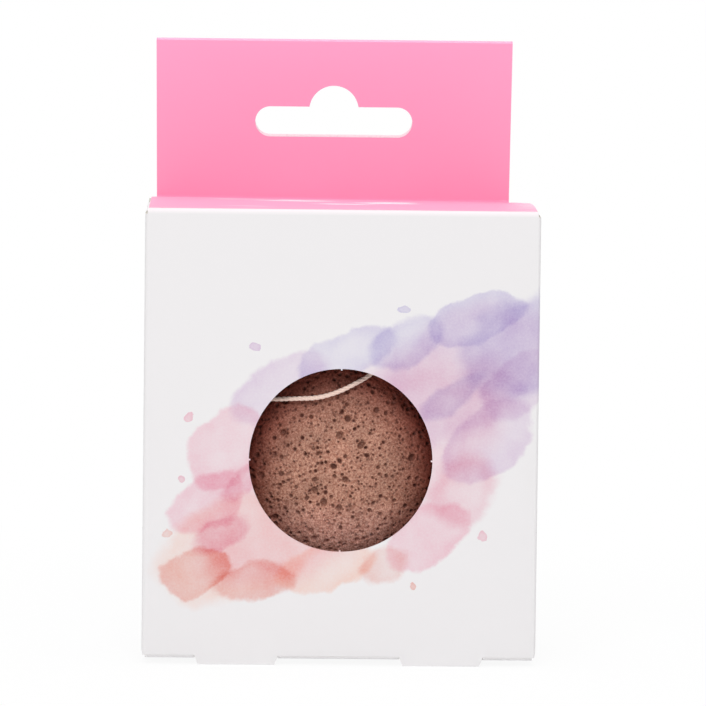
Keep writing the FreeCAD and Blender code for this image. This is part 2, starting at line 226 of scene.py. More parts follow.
def name_new(name: str) -> Object:
    """Name the object just added and put its place into its mesh.

    Args:
        name: name of the piece.

    Returns:
        The object, at the origin, unturned and unscaled.
    """
    piece = bpy.context.object
    piece.name = name
    piece.data.name = name
    bpy.ops.object.transform_apply(location=True, rotation=True, scale=True)
    return piece


def add_sheet(name: str, low: Triple, high: Triple) -> Object:
    """Add a flat rectangle that lies level, and open it in edit mode.

    Args:
        name: name of the piece.
        low: lowest corner in millimetres.
        high: highest corner, at the same height.

    Returns:
        The piece.
    """
    deselect_all()
    middle = [(a + b) / 2 * MM for a, b in zip(low, high)]
    bpy.ops.mesh.primitive_plane_add(size=1, location=middle)
    bpy.context.object.scale = ((high[0] - low[0]) * MM, (high[1] - low[1]) * MM, 1)
    piece = name_new(name)
    bpy.ops.object.mode_set(mode="EDIT")
    return piece


def add_edge(name: str, left: float, right: float, along: float, level: float) -> Object:
    """Add one straight edge from left to right, selected in edit mode, to draw a sheet from.

    Args:
        name: name of the piece.
        left: where the edge starts along X, in millimetres.
        right: where it ends.
        along: where it lies along Y.
        level: its height.

    Returns:
        The piece.
    """
    piece = add_sheet(name, (left, along, level), (right, along + 1, level))
    pick(piece, Pick.VERTEX, lambda at: at.y > along + NEAR)
    bpy.ops.mesh.delete(type="VERT")
    pick(piece, Pick.EDGE, lambda at: True)
    return piece


def pick(piece: Object, kind: Pick, test: Callable[[Vector], bool]) -> None:
    """Select what passes a test, with the piece in edit mode.

    Args:
        piece: the piece being edited.
        kind: what to select.
        test: takes an element's middle in millimetres.
    """
    bpy.ops.mesh.select_mode(type=kind.value)
    bpy.ops.mesh.select_all(action="DESELECT")
    drawn = bmesh.from_edit_mesh(piece.data)
    count = 0
    for item in {Pick.VERTEX: drawn.verts, Pick.EDGE: drawn.edges, Pick.FACE: drawn.faces}[kind]:
        corners = [item] if kind is Pick.VERTEX else item.verts
        middle = sum((corner.co for corner in corners), Vector()) / len(corners)
        if test(middle / MM):
            item.select_set(True)
            count += 1
    bmesh.update_edit_mesh(piece.data)
    if not count:
        LOG.warning("%s: nothing selected", piece.name)


def cut_across(axis: Axis, *places: float) -> None:
    """Cut new edges through the piece being edited where planes square to an axis meet it.

    Args:
        axis: the axis.
        places: places of the planes in millimetres.
    """
    for place in places:
        bpy.ops.mesh.select_all(action="SELECT")
        point = [0.0, 0.0, 0.0]
        normal = [0.0, 0.0, 0.0]
        point[axis.value] = place * MM
        normal[axis.value] = 1.0
        bpy.ops.mesh.bisect(plane_co=point, plane_no=normal, threshold=1e-7)


def move_picked(*shift: float) -> None:
    """Move what is selected by millimetres."""
    bpy.ops.transform.translate(value=mm(*shift))


def extrude_picked(*shift: float) -> None:
    """Extrude the selected edges by millimetres."""
    bpy.ops.mesh.extrude_edges_move(TRANSFORM_OT_translate={"value": mm(*shift)})


def spin_picked(centre: Triple, axis: Triple, degrees: float, steps: int = 6) -> None:
    """Roll the selected edges round an axis, as board rolls round a crease.

    Args:
        centre: point on the axis in millimetres.
        axis: direction of the axis.
        degrees: how far the board turns, by the right hand.
        steps: faces in the roll.
    """
    # The operator itself turns by the left hand.
    bpy.ops.mesh.spin(steps=steps, angle=-math.radians(degrees), center=mm(*centre), axis=axis,
                      use_auto_merge=False)


def apply_modifier(piece: Object, kind: str, **settings: object) -> None:
    """Add a modifier to a piece and apply it.

    Args:
        piece: the piece, which becomes active.
        kind: the modifier's type.
        settings: its properties.
    """
    make_active(piece)
    modifier = piece.modifiers.new(kind.lower(), kind)
    for name, setting in settings.items():
        setattr(modifier, name, setting)
    bpy.ops.object.modifier_apply(modifier=modifier.name)


def cut_with(piece: Object, cutter: Object) -> None:
    """Cut a closed shape out of a piece and delete the cutter."""
    apply_modifier(piece, "BOOLEAN", operation="DIFFERENCE", object=cutter, solver="EXACT", use_self=True)
    bpy.data.objects.remove(cutter)


def smooth(piece: Object) -> None:
    """Shade a piece smooth, apart from its hard edges."""
    make_active(piece)
    bpy.ops.object.shade_smooth_by_angle(angle=math.radians(HARD_EDGE))


def face_out(piece: Object, outside: Vector) -> None:
    """Turn an open sheet's faces to the outside.

    Args:
        piece: the piece being edited.
        outside: direction that the sheet's outermost face has to face.
    """
    bpy.ops.mesh.select_all(action="SELECT")
    bpy.ops.mesh.remove_doubles(threshold=1e-7)
    bpy.ops.mesh.normals_make_consistent(inside=False)
    faces = bmesh.from_edit_mesh(piece.data).faces
    square = [face for face in faces if abs(face.normal.dot(outside)) > 0.7]
    outermost = max(square, key=lambda face: face.calc_center_median().dot(outside))
    if outermost.normal.dot(outside) < 0:
        bpy.ops.mesh.flip_normals()


def thicken(piece: Object, board: float) -> None:
    """Give a sheet its board thickness about its middle, with bare fibre inside and on the cut edges.

    Args:
        piece: the sheet, with its faces to the outside.
        board: thickness in millimetres.
    """
    bpy.ops.object.mode_set(mode="OBJECT")
    apply_modifier(piece, "SOLIDIFY", thickness=board * MM, offset=0.0, use_even_offset=True,
                   use_quality_normals=True, material_offset=Face.FIBRE.value,
                   material_offset_rim=Face.FIBRE.value)
    smooth(piece)


def keep_place(piece: Object) -> None:
    """Store where each point lies in the closed carton, so that marks stay put as the piece folds."""
    spots = piece.data.attributes.new(REST_PLACE, "FLOAT_VECTOR", "POINT")
    spots.data.foreach_set("vector", [part for vertex in piece.data.vertices for part in vertex.co])


def dress(piece: Object, *materials: Material) -> None:
    """Give a piece its materials.

    Args:
        piece: the piece.
        materials: what it is made of, in the order of Face for a board piece.
    """
    piece.data.materials.clear()
    for material in materials:
        piece.data.materials.append(material)


def report(piece: Object) -> None:
    """Log a finished piece."""
    LOG.info("%s: %d faces", piece.name, len(piece.data.polygons))


@dataclass(frozen=True)
class Dab:
    """One oval of thin watercolour in the print, or one rub in the ink.

    Its place and half sizes are in millimetres on the flat board, and its turn is in degrees. Its load
    says how strong it is, and soft how much of it fades out at the rim.
    """

    across: float
    up: float
    long: float
    short: float
    turn: float
    ink: Ink
    load: float
    soft: float

    def reach(self, tree: NodeTree, level: NodeSocket) -> NodeSocket:
        """Measure how far a place lies from the oval's middle.

        Args:
            tree: the material's node tree.
            level: places on the flat board.

        Returns:
            The socket with the distance, 1 at the oval's rim.
        """
        spot = add_node(tree, "Mapping", {
            "Vector": level, "Location": mm(self.across, self.up, 0),
            "Rotation": (0, 0, math.radians(self.turn)),
            "Scale": (self.long * MM, self.short * MM, 1)}, vector_type="TEXTURE")
        return add_node(tree, "VectorMath", {0: spot.outputs[0]}, operation="LENGTH").outputs["Value"]


# The front's watercolour: a slanting wash of round dabs, with a few drops beside it.
PRINT = (
    Dab(-20, 24, 19, 11, 22, Ink.PEACH, 0.5, 0.2),
    Dab(-8, 33, 26, 15, 34, Ink.PINK, 0.5, 0.35),
    Dab(12, 46, 27, 16, 36, Ink.PINK, 0.45, 0.4),
    Dab(24, 60, 23, 13, 30, Ink.LILAC, 0.6, 0.3),
    Dab(39, 66, 17, 11, 24, Ink.LAVENDER, 0.55, 0.25),
    Dab(-27, 33, 9, 6, 40, Ink.PINK, 0.6, 0.14),
    Dab(-23, 44, 10, 7, 48, Ink.PINK, 0.55, 0.12),
    Dab(-29, 19, 8, 5, 20, Ink.CORAL, 0.6, 0.12),
    Dab(-17, 17, 9, 4.5, 10, Ink.CORAL, 0.5, 0.2),
    Dab(-3, 20, 11, 5, 16, Ink.PEACH, 0.6, 0.16),
    Dab(9, 21, 6, 4, 24, Ink.CORAL, 0.4, 0.3),
    Dab(18, 27, 10, 6, 36, Ink.PINK, 0.6, 0.14),
    Dab(25, 36, 9, 7, 44, Ink.ROSE, 0.35, 0.3),
    Dab(30, 46, 11, 7, 42, Ink.LILAC, 0.55, 0.12),
    Dab(-12, 56, 12, 6, 32, Ink.LILAC, 0.55, 0.16),
    Dab(1, 63, 11, 5, 24, Ink.LAVENDER, 0.45, 0.14),
    Dab(13, 66, 9, 5, 30, Ink.LAVENDER, 0.5, 0.2),
    Dab(27, 71, 11, 5, 20, Ink.LAVENDER, 0.5, 0.12),
    Dab(36, 57, 9, 6, 36, Ink.LILAC, 0.5, 0.2),
    Dab(-24, 27, 7, 3, 30, Ink.ROSE, 0.5, 0.35),
    Dab(-20, 37, 6, 2.6, 46, Ink.ROSE, 0.45, 0.4),
    Dab(22, 55, 9, 3, 34, Ink.LAVENDER, 0.5, 0.4),
    Dab(-35, 27, 1.1, 1.0, 0, Ink.CORAL, 0.5, 0.1),
    Dab(-33, 38, 0.8, 0.7, 0, Ink.ROSE, 0.5, 0.1),
    Dab(-31, 50, 1.3, 1.1, 0, Ink.PINK, 0.7, 0.1),
    Dab(-18, 64, 0.9, 0.8, 0, Ink.LILAC, 0.7, 0.1),
    Dab(12, 73, 1.0, 0.9, 0, Ink.LAVENDER, 0.6, 0.1),
    Dab(29, 27, 1.2, 1.0, 0, Ink.ROSE, 0.45, 0.1),
    Dab(15, 17, 0.8, 0.8, 0, Ink.CORAL, 0.6, 0.1),
)

# Pale streaks on the lid, longest across it: partly worn ink and partly painted highlight. The last, broad
# one pales the lid's right end.
LID_WEAR_AND_HIGHLIGHTS = (
    Dab(-9.5, 12.5, 10.0, 4.0, 2, Ink.WORN_AND_HIGHLIT, 0.95, 0.3),
    Dab(0.5, 2.0, 8.5, 3.0, -2, Ink.WORN_AND_HIGHLIT, 0.8, 0.35),
    Dab(9.0, 8.5, 9.0, 4.4, 1, Ink.WORN_AND_HIGHLIT, 1.0, 0.3),
    Dab(-22.0, 15.0, 8.5, 2.0, 2, Ink.WORN_AND_HIGHLIT, 0.5, 0.5),
    Dab(-19.0, -9.0, 7.0, 2.2, 1, Ink.WORN_AND_HIGHLIT, 0.4, 0.5),
    Dab(39.5, 0.0, 7.0, 30.0, 0, Ink.WORN_AND_HIGHLIT, 0.3, 0.5),
)


@dataclass(frozen=True)
class BareFibre:
    """Uncoated side of folding boxboard: pressed pulp, matt and slightly warm, with fine flecks."""

    name: str = "boxboard_bare_fibre"
    colour: str = "#dedbd4"
    fleck: str = "#c9c4ba"
    # Real flecks are finer. They are drawn this coarse so that they show.
    fleck_size: float = 0.5
    roughness: float = 0.9

    def material(self) -> Material:
        """Build the material.

        Returns:
            The material.
        """
        material, tree, shader = new_material(self.name)
        place = add_node(tree, "TexCoord").outputs["Object"]
        pulp = add_node(tree, "TexNoise", {
            "Vector": place, "Scale": pitch(self.fleck_size),
            "Detail": 5.0, "Roughness": 0.65}).outputs["Fac"]
        share = add_node(tree, "MapRange", {"Value": pulp, "From Min": 0.45, "From Max": 0.75})
        tone = add_node(tree, "Mix", {
            0: share.outputs[0], 6: linear(self.colour), 7: linear(self.fleck)}, data_type="RGBA")
        bump = add_node(tree, "Bump", {"Height": pulp, "Strength": 0.25, "Distance": 0.04 * MM})
        tree.links.new(tone.outputs[2], shader.inputs["Base Color"])
        tree.links.new(bump.outputs[0], shader.inputs["Normal"])
        shader.inputs["Roughness"].default_value = self.roughness
        shader.inputs["Specular IOR Level"].default_value = 0.25
        return material


@dataclass(frozen=True)
class CoatedBoard:
    """What the printed sides of the board share: a smooth face with a faint mottle in its gloss."""

    roughness: float = 0.42
    mottle_size: float = 6.0
    mottle_detail: float = 3.0
    # The coat's grain is far finer. It is drawn this coarse so that it shows.
    grain_size: float = 0.35
    relief: float = 0.06

    def surface(self, tree: NodeTree, shader: Node, place: NodeSocket) -> NodeSocket:
        """Give the shader its gloss and grain.

        Args:
            tree: the material's node tree.
            shader: its shader.
            place: places that the patterns follow.

        Returns:
            The socket with the mottle.
        """
        mottle = add_node(tree, "TexNoise", {
            "Vector": place, "Scale": pitch(self.mottle_size), "Detail": self.mottle_detail}).outputs["Fac"]
        grain = add_node(tree, "TexNoise", {
            "Vector": place, "Scale": pitch(self.grain_size), "Detail": 3.0}).outputs["Fac"]
        gloss = add_node(tree, "MapRange", {
            "Value": mottle, "To Min": self.roughness - 0.05, "To Max": self.roughness + 0.06})
        bump = add_node(tree, "Bump", {"Height": grain, "Strength": self.relief, "Distance": 0.02 * MM})
        tree.links.new(gloss.outputs[0], shader.inputs["Roughness"])
        tree.links.new(bump.outputs[0], shader.inputs["Normal"])
        return mottle


@dataclass(frozen=True)
class WhiteCoat(CoatedBoard):
    """Clay-coated white side of folding boxboard: smooth and satin, with or without a watercolour print."""

    name: str = "boxboard_white_coat"
    colour: str = "#ebe9ea"
    dabs: tuple[Dab, ...] = ()
    ragged: float = 2.6
    ragged_size: float = 9.0
    feather: float = 0.7
    feather_size: float = 1.6
    pigment_size: float = 0.45
    # Painted highlight: the near white that the front's top edge is paled towards, and the span of height it
    # covers.
    top_edge_highlight: str = "#fdf6f9"
    top_edge_highlight_span: Pair = (91.45, 92.25)

    def material(self) -> Material:
        """Build the material, with its watercolour print where it has dabs.

        Returns:
            The material.
        """
        material, tree, shader = new_material(self.name)
        mottle = self.surface(tree, shader, add_node(tree, "TexCoord").outputs["Object"])
        shader.inputs["Base Color"].default_value = linear(self.colour)
        if self.dabs:
            tree.links.new(self.print_over(tree, mottle), shader.inputs["Base Color"])
        return material

    def print_over(self, tree: NodeTree, mottle: NodeSocket) -> NodeSocket:
        """Lay the dabs over the white on the blank's own map, and paint a highlight along the top edge,
        paling it towards near white.

        Args:
            tree: the material's node tree.
            mottle: slow noise that thins the paint here and there.

        Returns:
            The socket with the printed colour.
        """
        flat = add_node(tree, "UVMap", uv_map=Sleeve.MAP).outputs[0]
        wander = add_node(tree, "TexNoise", {
            "Vector": flat, "Scale": pitch(self.ragged_size), "Detail": 2.0})
        feather = add_node(tree, "TexNoise", {
            "Vector": flat, "Scale": pitch(self.feather_size), "Detail": 4.0, "Roughness": 0.6})
        pushed = flat
        for drift, reach in ((wander, self.ragged), (feather, self.feather)):
            centred = add_node(tree, "VectorMath", {0: drift.outputs["Color"], 1: (0.5, 0.5, 0.5)},
                               operation="SUBTRACT")
            scaled = add_node(tree, "VectorMath", {0: centred.outputs[0], "Scale": 2 * reach * MM},
                              operation="SCALE")
            pushed = add_node(tree, "VectorMath", {0: pushed, 1: scaled.outputs[0]},
                              operation="ADD").outputs[0]
        level = add_node(tree, "VectorMath", {0: pushed, 1: (1, 1, 0)}, operation="MULTIPLY").outputs[0]
        grains = add_node(tree, "TexNoise", {
            "Vector": flat, "Scale": pitch(self.pigment_size), "Detail": 4.0, "Roughness": 0.7})
        grit = add_node(tree, "MapRange", {
            "Value": grains.outputs["Fac"], "From Min": 0.3, "From Max": 0.7, "To Min": 0.8, "To Max": 1.15})
        thin = add_node(tree, "MapRange", {
            "Value": mottle, "From Min": 0.3, "From Max": 0.7, "To Min": 0.65, "To Max": 1.1})
        body = add_node(tree, "Math", {0: grit.outputs[0], 1: thin.outputs[0]}, operation="MULTIPLY")
        printed: NodeSocket | tuple[float, ...] = linear(self.colour)
        for dab in self.dabs:
            reach = dab.reach(tree, level)
            inside = add_node(tree, "MapRange", {
                "Value": reach, "From Min": 1 - dab.soft, "From Max": 1 + dab.soft / 4,
                "To Min": 1.0, "To Max": 0.0}, interpolation_type="SMOOTHSTEP")
            pooled = add_node(tree, "MapRange", {
                "Value": reach, "From Min": 0.3, "From Max": 1.0,
                "To Min": 0.88 * dab.load, "To Max": 1.18 * dab.load}, interpolation_type="SMOOTHERSTEP")
            laid = add_node(tree, "Math", {0: inside.outputs[0], 1: pooled.outputs[0]}, operation="MULTIPLY")
            load = add_node(tree, "Math", {0: laid.outputs[0], 1: body.outputs[0]}, operation="MULTIPLY",
                            use_clamp=True)
            printed = add_node(tree, "Mix", {0: load.outputs[0], 6: printed, 7: linear(dab.ink.value)},
                               data_type="RGBA", blend_type="MULTIPLY").outputs[2]
        # Painted highlight: the band along the top edge is paled towards near white.
        height = add_node(tree, "SeparateXYZ", {0: flat}).outputs["Y"]
        edge = add_node(tree, "MapRange", {
            "Value": height, "From Min": self.top_edge_highlight_span[0] * MM, "From Max": self.top_edge_highlight_span[1] * MM})
        return add_node(tree, "Mix", {0: edge.outputs[0], 6: printed, 7: linear(self.top_edge_highlight)},
                        data_type="RGBA").outputs[2]


@dataclass(frozen=True)
class PinkInk(CoatedBoard):
    """Boxboard flooded with pink ink under a gloss varnish: a soft fade, and pale streaks that are partly
    wear along folds and partly painted highlight.
    """

    name: str = "boxboard_pink_varnish"
    top: str = "#fb9dc4"
    foot: str = "#fb95b9"
    fade_along: Axis = Axis.Z
    fade_span: Pair = (92.0, 126.0)
    roughness: float = 0.3
    mottle_size: float = 7.0
    mottle_detail: float = 2.0
    grain_size: float = 0.4
    relief: float = 0.05
    shine: float = 0.5
    varnish: float = 0.35
    # Pale streaks: partly worn ink, partly painted highlight.
    wear_and_highlights: tuple[Dab, ...] = ()
    streak: Pair = (9.0, 0.7)
    streak_push: float = 3.4
    streak_reach: float = 2.4

    def material(self) -> Material:
        """Build the material.

        Returns:
            The material.
        """
        material, tree, shader = new_material(self.name)
        place = add_node(tree, "Attribute", attribute_name=REST_PLACE).outputs["Vector"]
        parts = add_node(tree, "SeparateXYZ", {0: place})
        fade = add_node(tree, "MapRange", {
            "Value": parts.outputs[self.fade_along.name],
            "From Min": self.fade_span[0] * MM, "From Max": self.fade_span[1] * MM})
        ink = add_node(tree, "Mix", {0: fade.outputs[0], 6: linear(self.foot), 7: linear(self.top)},
                       data_type="RGBA").outputs[2]
        self.surface(tree, shader, place)
        # Pale streaks, partly wear and partly painted highlight.
        if self.wear_and_highlights:
            ink = self.rub_in_wear_and_highlights(tree, place, ink)
        tree.links.new(ink, shader.inputs["Base Color"])
        shader.inputs["Specular IOR Level"].default_value = self.shine
        shader.inputs["Coat Weight"].default_value = self.varnish
        shader.inputs["Coat Roughness"].default_value = 0.18
        return material

    def rub_in_wear_and_highlights(self, tree: NodeTree, place: NodeSocket, ink: NodeSocket) -> NodeSocket:
        """Paint pale streaks into the ink, partly wear and partly painted highlight, long across the lid and
        broken along their edges.

        Args:
            tree: the material's node tree.
            place: places in the closed carton.
            ink: colour under the wear and the painted highlight.

        Returns:
            The socket with the worn and highlighted colour.
        """
        drawn = add_node(tree, "Mapping", {
            "Vector": place, "Scale": (pitch(self.streak[0]), pitch(self.streak[1]), 0)})
        broken = add_node(tree, "TexNoise", {
            "Vector": drawn.outputs[0], "Scale": 1.0, "Detail": 4.0, "Roughness": 0.6}).outputs["Fac"]
        level = add_node(tree, "VectorMath", {0: place, 1: (1, 1, 0)}, operation="MULTIPLY").outputs[0]
        for streak_mark in self.wear_and_highlights:
            ragged = add_node(tree, "Math", {0: broken, 1: self.streak_push, 2: streak_mark.reach(tree, level)},
                              operation="MULTIPLY_ADD")
            paled = add_node(tree, "MapRange", {
                "Value": ragged.outputs[0], "From Min": self.streak_reach - streak_mark.soft,
                "From Max": self.streak_reach, "To Min": streak_mark.load, "To Max": 0.0})
            ink = add_node(tree, "Mix", {0: paled.outputs[0], 6: ink, 7: linear(streak_mark.ink.value)},
                           data_type="RGBA").outputs[2]
        return ink


@dataclass(frozen=True)
class KonjacFoam:
    """Konjac root gel frozen to a foam and dyed by clay: damp, matt and open-pored, with painted shade in
    the pores and in a ring round the front of the dome, and painted light low on its front.
    """

    ridge: str = "#cf9d87"
    skin: str = "#9a6552"
    # Painted shade: the colour that the pores and fine pits are darkened towards.
    pore: str = "#4b1d13"
    # Painted shade: the colour that darkens a ring round the dome's crown, where the carton round the window
    # shades it.
    rim: str = "#b15f55"
    # Painted light: the tint that lightens the lower front of the dome, the heights where it fades, and how
    # much it pales the pores there.
    low_light_tint: Triple = (1.45, 1.5, 1.75)
    low_light_span: Pair = (23.0, 34.0)
    low_light_pores: float = 0.45
    # Where the painted shade and light lie: the crown's height, the ring's stretch and reach from it, and
    # the span along Y of the front that they cover.
    crown_up: float = 36.5
    crown_stretch: float = 1.25
    crown_reach: Pair = (9.0, 21.0)
    ring: Pair = (-13.0, -7.0)
    fine_pore_size: float = 0.75
    fleck_size: float = 0.4
    cloud_size: float = 5.0
    roughness: float = 0.62

    def material(self) -> Material:
        """Build the material.

        Returns:
            The material.
        """
        material, tree, shader = new_material("konjac_foam")
        place = add_node(tree, "TexCoord").outputs["Object"]
        depth = add_node(tree, "Attribute", attribute_name=Puff.DEPTH).outputs["Fac"]
        fine = add_node(tree, "TexVoronoi", {
            "Vector": place, "Scale": pitch(self.fine_pore_size), "Randomness": 1.0})
        fleck = add_node(tree, "TexNoise", {
            "Vector": place, "Scale": pitch(self.fleck_size),
            "Detail": 5.0, "Roughness": 0.75}).outputs["Fac"]
        # Painted shade in fine pits too small for the mesh; the same pits also shape the bump.
        pits = add_node(tree, "MapRange", {
            "Value": fine.outputs["Distance"], "From Min": 0.14, "From Max": 0.36,
            "To Min": 1.0, "To Max": 0.0})
        some = add_node(tree, "MapRange", {"Value": fine.outputs["Color"], "From Min": 0.3, "From Max": 0.7})
        pitted = add_node(tree, "Math", {0: pits.outputs[0], 1: some.outputs[0]},
                          operation="MULTIPLY").outputs[0]
        skin, low_lit = self.painted_rim_shade_and_low_light(tree, place, self.flecked(tree, place, fleck))
        # Painted shade: each point is darkened towards the pore colour by its pore and its fine pits.
        shade = add_node(tree, "Math", {0: pitted, 1: 0.75}, operation="MULTIPLY")
        deepest = add_node(tree, "Math", {0: depth, 1: shade.outputs[0]}, operation="MAXIMUM",
                           use_clamp=True)
        # Painted light: the pores are paled where the lower front is lit.
        pore_shade_kept = add_node(tree, "Math", {0: low_lit, 1: -self.low_light_pores, 2: 1.0}, operation="MULTIPLY_ADD")
        shown = add_node(tree, "Math", {0: deepest.outputs[0], 1: pore_shade_kept.outputs[0]}, operation="MULTIPLY")
        tone = add_node(tree, "Mix", {0: shown.outputs[0], 6: skin, 7: linear(self.pore)}, data_type="RGBA")
        height = add_node(tree, "Math", {0: fleck, 1: pitted}, operation="SUBTRACT")
        bump = add_node(tree, "Bump", {"Height": height.outputs[0], "Strength": 0.7, "Distance": 0.12 * MM})
        tree.links.new(tone.outputs[2], shader.inputs["Base Color"])
        tree.links.new(bump.outputs[0], shader.inputs["Normal"])
        shader.inputs["Roughness"].default_value = self.roughness
        shader.inputs["Specular IOR Level"].default_value = 0.3
        shader.inputs["Subsurface Weight"].default_value = 0.12
        shader.inputs["Subsurface Radius"].default_value = (1.0, 0.45, 0.3)
        shader.inputs["Subsurface Scale"].default_value = 0.8 * MM
        return material

    def flecked(self, tree: NodeTree, place: NodeSocket, fleck: NodeSocket) -> NodeSocket:
        """Mix the skin's two browns fleck by fleck, with slow clouds of lighter and darker foam.

        Args:
            tree: the material's node tree.
            place: places on the sponge.
            fleck: fine noise.

        Returns:
            The socket with the skin's colour.
        """
        light = add_node(tree, "MapRange", {"Value": fleck, "From Min": 0.43, "From Max": 0.61})
        skin = add_node(tree, "Mix", {0: light.outputs[0], 6: linear(self.skin), 7: linear(self.ridge)},
                        data_type="RGBA")
        cloud = add_node(tree, "TexNoise", {"Vector": place, "Scale": pitch(self.cloud_size), "Detail": 2.0})
        drift = add_node(tree, "MapRange", {
            "Value": cloud.outputs["Fac"], "From Min": 0.3, "From Max": 0.7, "To Min": 0.82, "To Max": 1.1})
        return add_node(tree, "Mix", {0: 1.0, 6: skin.outputs[2], 7: drift.outputs[0]},
                        data_type="RGBA", blend_type="MULTIPLY").outputs[2]

    def painted_rim_shade_and_low_light(self, tree: NodeTree, place: NodeSocket, skin: NodeSocket) -> tuple[NodeSocket, NodeSocket]:
        """Paint shade in a ring round the dome's crown, and paint light on the foam low on its front.

        Args:
            tree: the material's node tree.
            place: places on the sponge.
            skin: the skin's colour.

        Returns:
            The socket with the new colour, and one that is 1 where the painted light below is full.
        """
        parts = add_node(tree, "SeparateXYZ", {0: place}).outputs
        fore = add_node(tree, "MapRange", {
            "Value": parts["Y"], "From Min": self.ring[0] * MM, "From Max": self.ring[1] * MM,
            "To Min": 1.0, "To Max": 0.0}, interpolation_type="SMOOTHSTEP").outputs[0]
        # The huge scale along Y leaves only the distance across and up from the crown.
        flank = add_node(tree, "Mapping", {
            "Vector": place, "Location": mm(0, 0, self.crown_up),
            "Scale": (MM, 1e6, self.crown_stretch * MM)}, vector_type="TEXTURE")
        away = add_node(tree, "VectorMath", {0: flank.outputs[0]}, operation="LENGTH")
        # Painted shade: the ring round the crown.
        rim_shade = add_node(tree, "MapRange", {
            "Value": away.outputs["Value"], "From Min": self.crown_reach[0],
            "From Max": self.crown_reach[1]}, interpolation_type="SMOOTHSTEP")
        low = add_node(tree, "MapRange", {
            "Value": parts["Z"], "From Min": self.low_light_span[0] * MM, "From Max": self.low_light_span[1] * MM,
            "To Min": 1.0, "To Max": 0.0})
        # Painted shade from the rim colour in the ring, and painted light from the tint low down, both on
        # the front only.
        for share, tint in ((rim_shade, linear(self.rim)), (low, (*self.low_light_tint, 1))):
            part = add_node(tree, "Math", {0: share.outputs[0], 1: fore}, operation="MULTIPLY").outputs[0]
            skin = add_node(tree, "Mix", {0: part, 6: skin, 7: tint},
                            data_type="RGBA", blend_type="MULTIPLY").outputs[2]
        return skin, part


@dataclass(frozen=True)
class CottonTwist:
    """Undyed cotton spun into a string: soft, matt, cream in the valleys, with fibres along each strand."""

    colour: str = "#ffe3d6"
    valley: str = "#dcb8a6"
    # Cotton fibres are about a fifth as thick. They are drawn this coarse so that they show.
    fibre_size: float = 0.12

    def material(self) -> Material:
        """Build the material.

        Returns:
            The material.
        """
        material, tree, shader = new_material("cotton_twist")
        place = add_node(tree, "TexCoord").outputs["Object"]
        fibres = add_node(tree, "TexNoise", {
            "Vector": place, "Scale": pitch(self.fibre_size),
            "Detail": 4.0, "Roughness": 0.7}).outputs["Fac"]
        share = add_node(tree, "MapRange", {
            "Value": fibres, "From Min": 0.4, "From Max": 0.72, "To Min": 0.0, "To Max": 0.7})
        tone = add_node(tree, "Mix", {
            0: share.outputs[0], 6: linear(self.colour), 7: linear(self.valley)}, data_type="RGBA")
        bump = add_node(tree, "Bump", {"Height": fibres, "Strength": 0.6, "Distance": 0.05 * MM})
        tree.links.new(tone.outputs[2], shader.inputs["Base Color"])
        tree.links.new(bump.outputs[0], shader.inputs["Normal"])
        shader.inputs["Roughness"].default_value = 0.9
        shader.inputs["Sheen Weight"].default_value = 0.3
        return material


@dataclass
class BoardPiece:
    """What every folded board piece shares."""

    board: float = 0.5
    slot: str = "white_board"
    pieces: list[Object] = field(default_factory=list)

    def finish(self, piece: Object, outside: Vector, outer: Material, fibre: Material, *nodes: str,
               board: float | None = None) -> Object:
        """Thicken and dress a sheet and let it stand for its CAD nodes.

        Args:
            piece: the sheet, in edit mode.
            outside: direction that its printed side faces.
            outer: material of the printed side.
            fibre: material of the inside and the cut edges.
            nodes: CAD nodes that it replaces.
            board: its thickness, where it isn't the usual one.

        Returns:
            The piece.
        """
        face_out(piece, outside)
        dress(piece, outer, fibre)
        thicken(piece, board or self.board)
        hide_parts(*nodes)
        self.pieces.append(piece)
        return piece


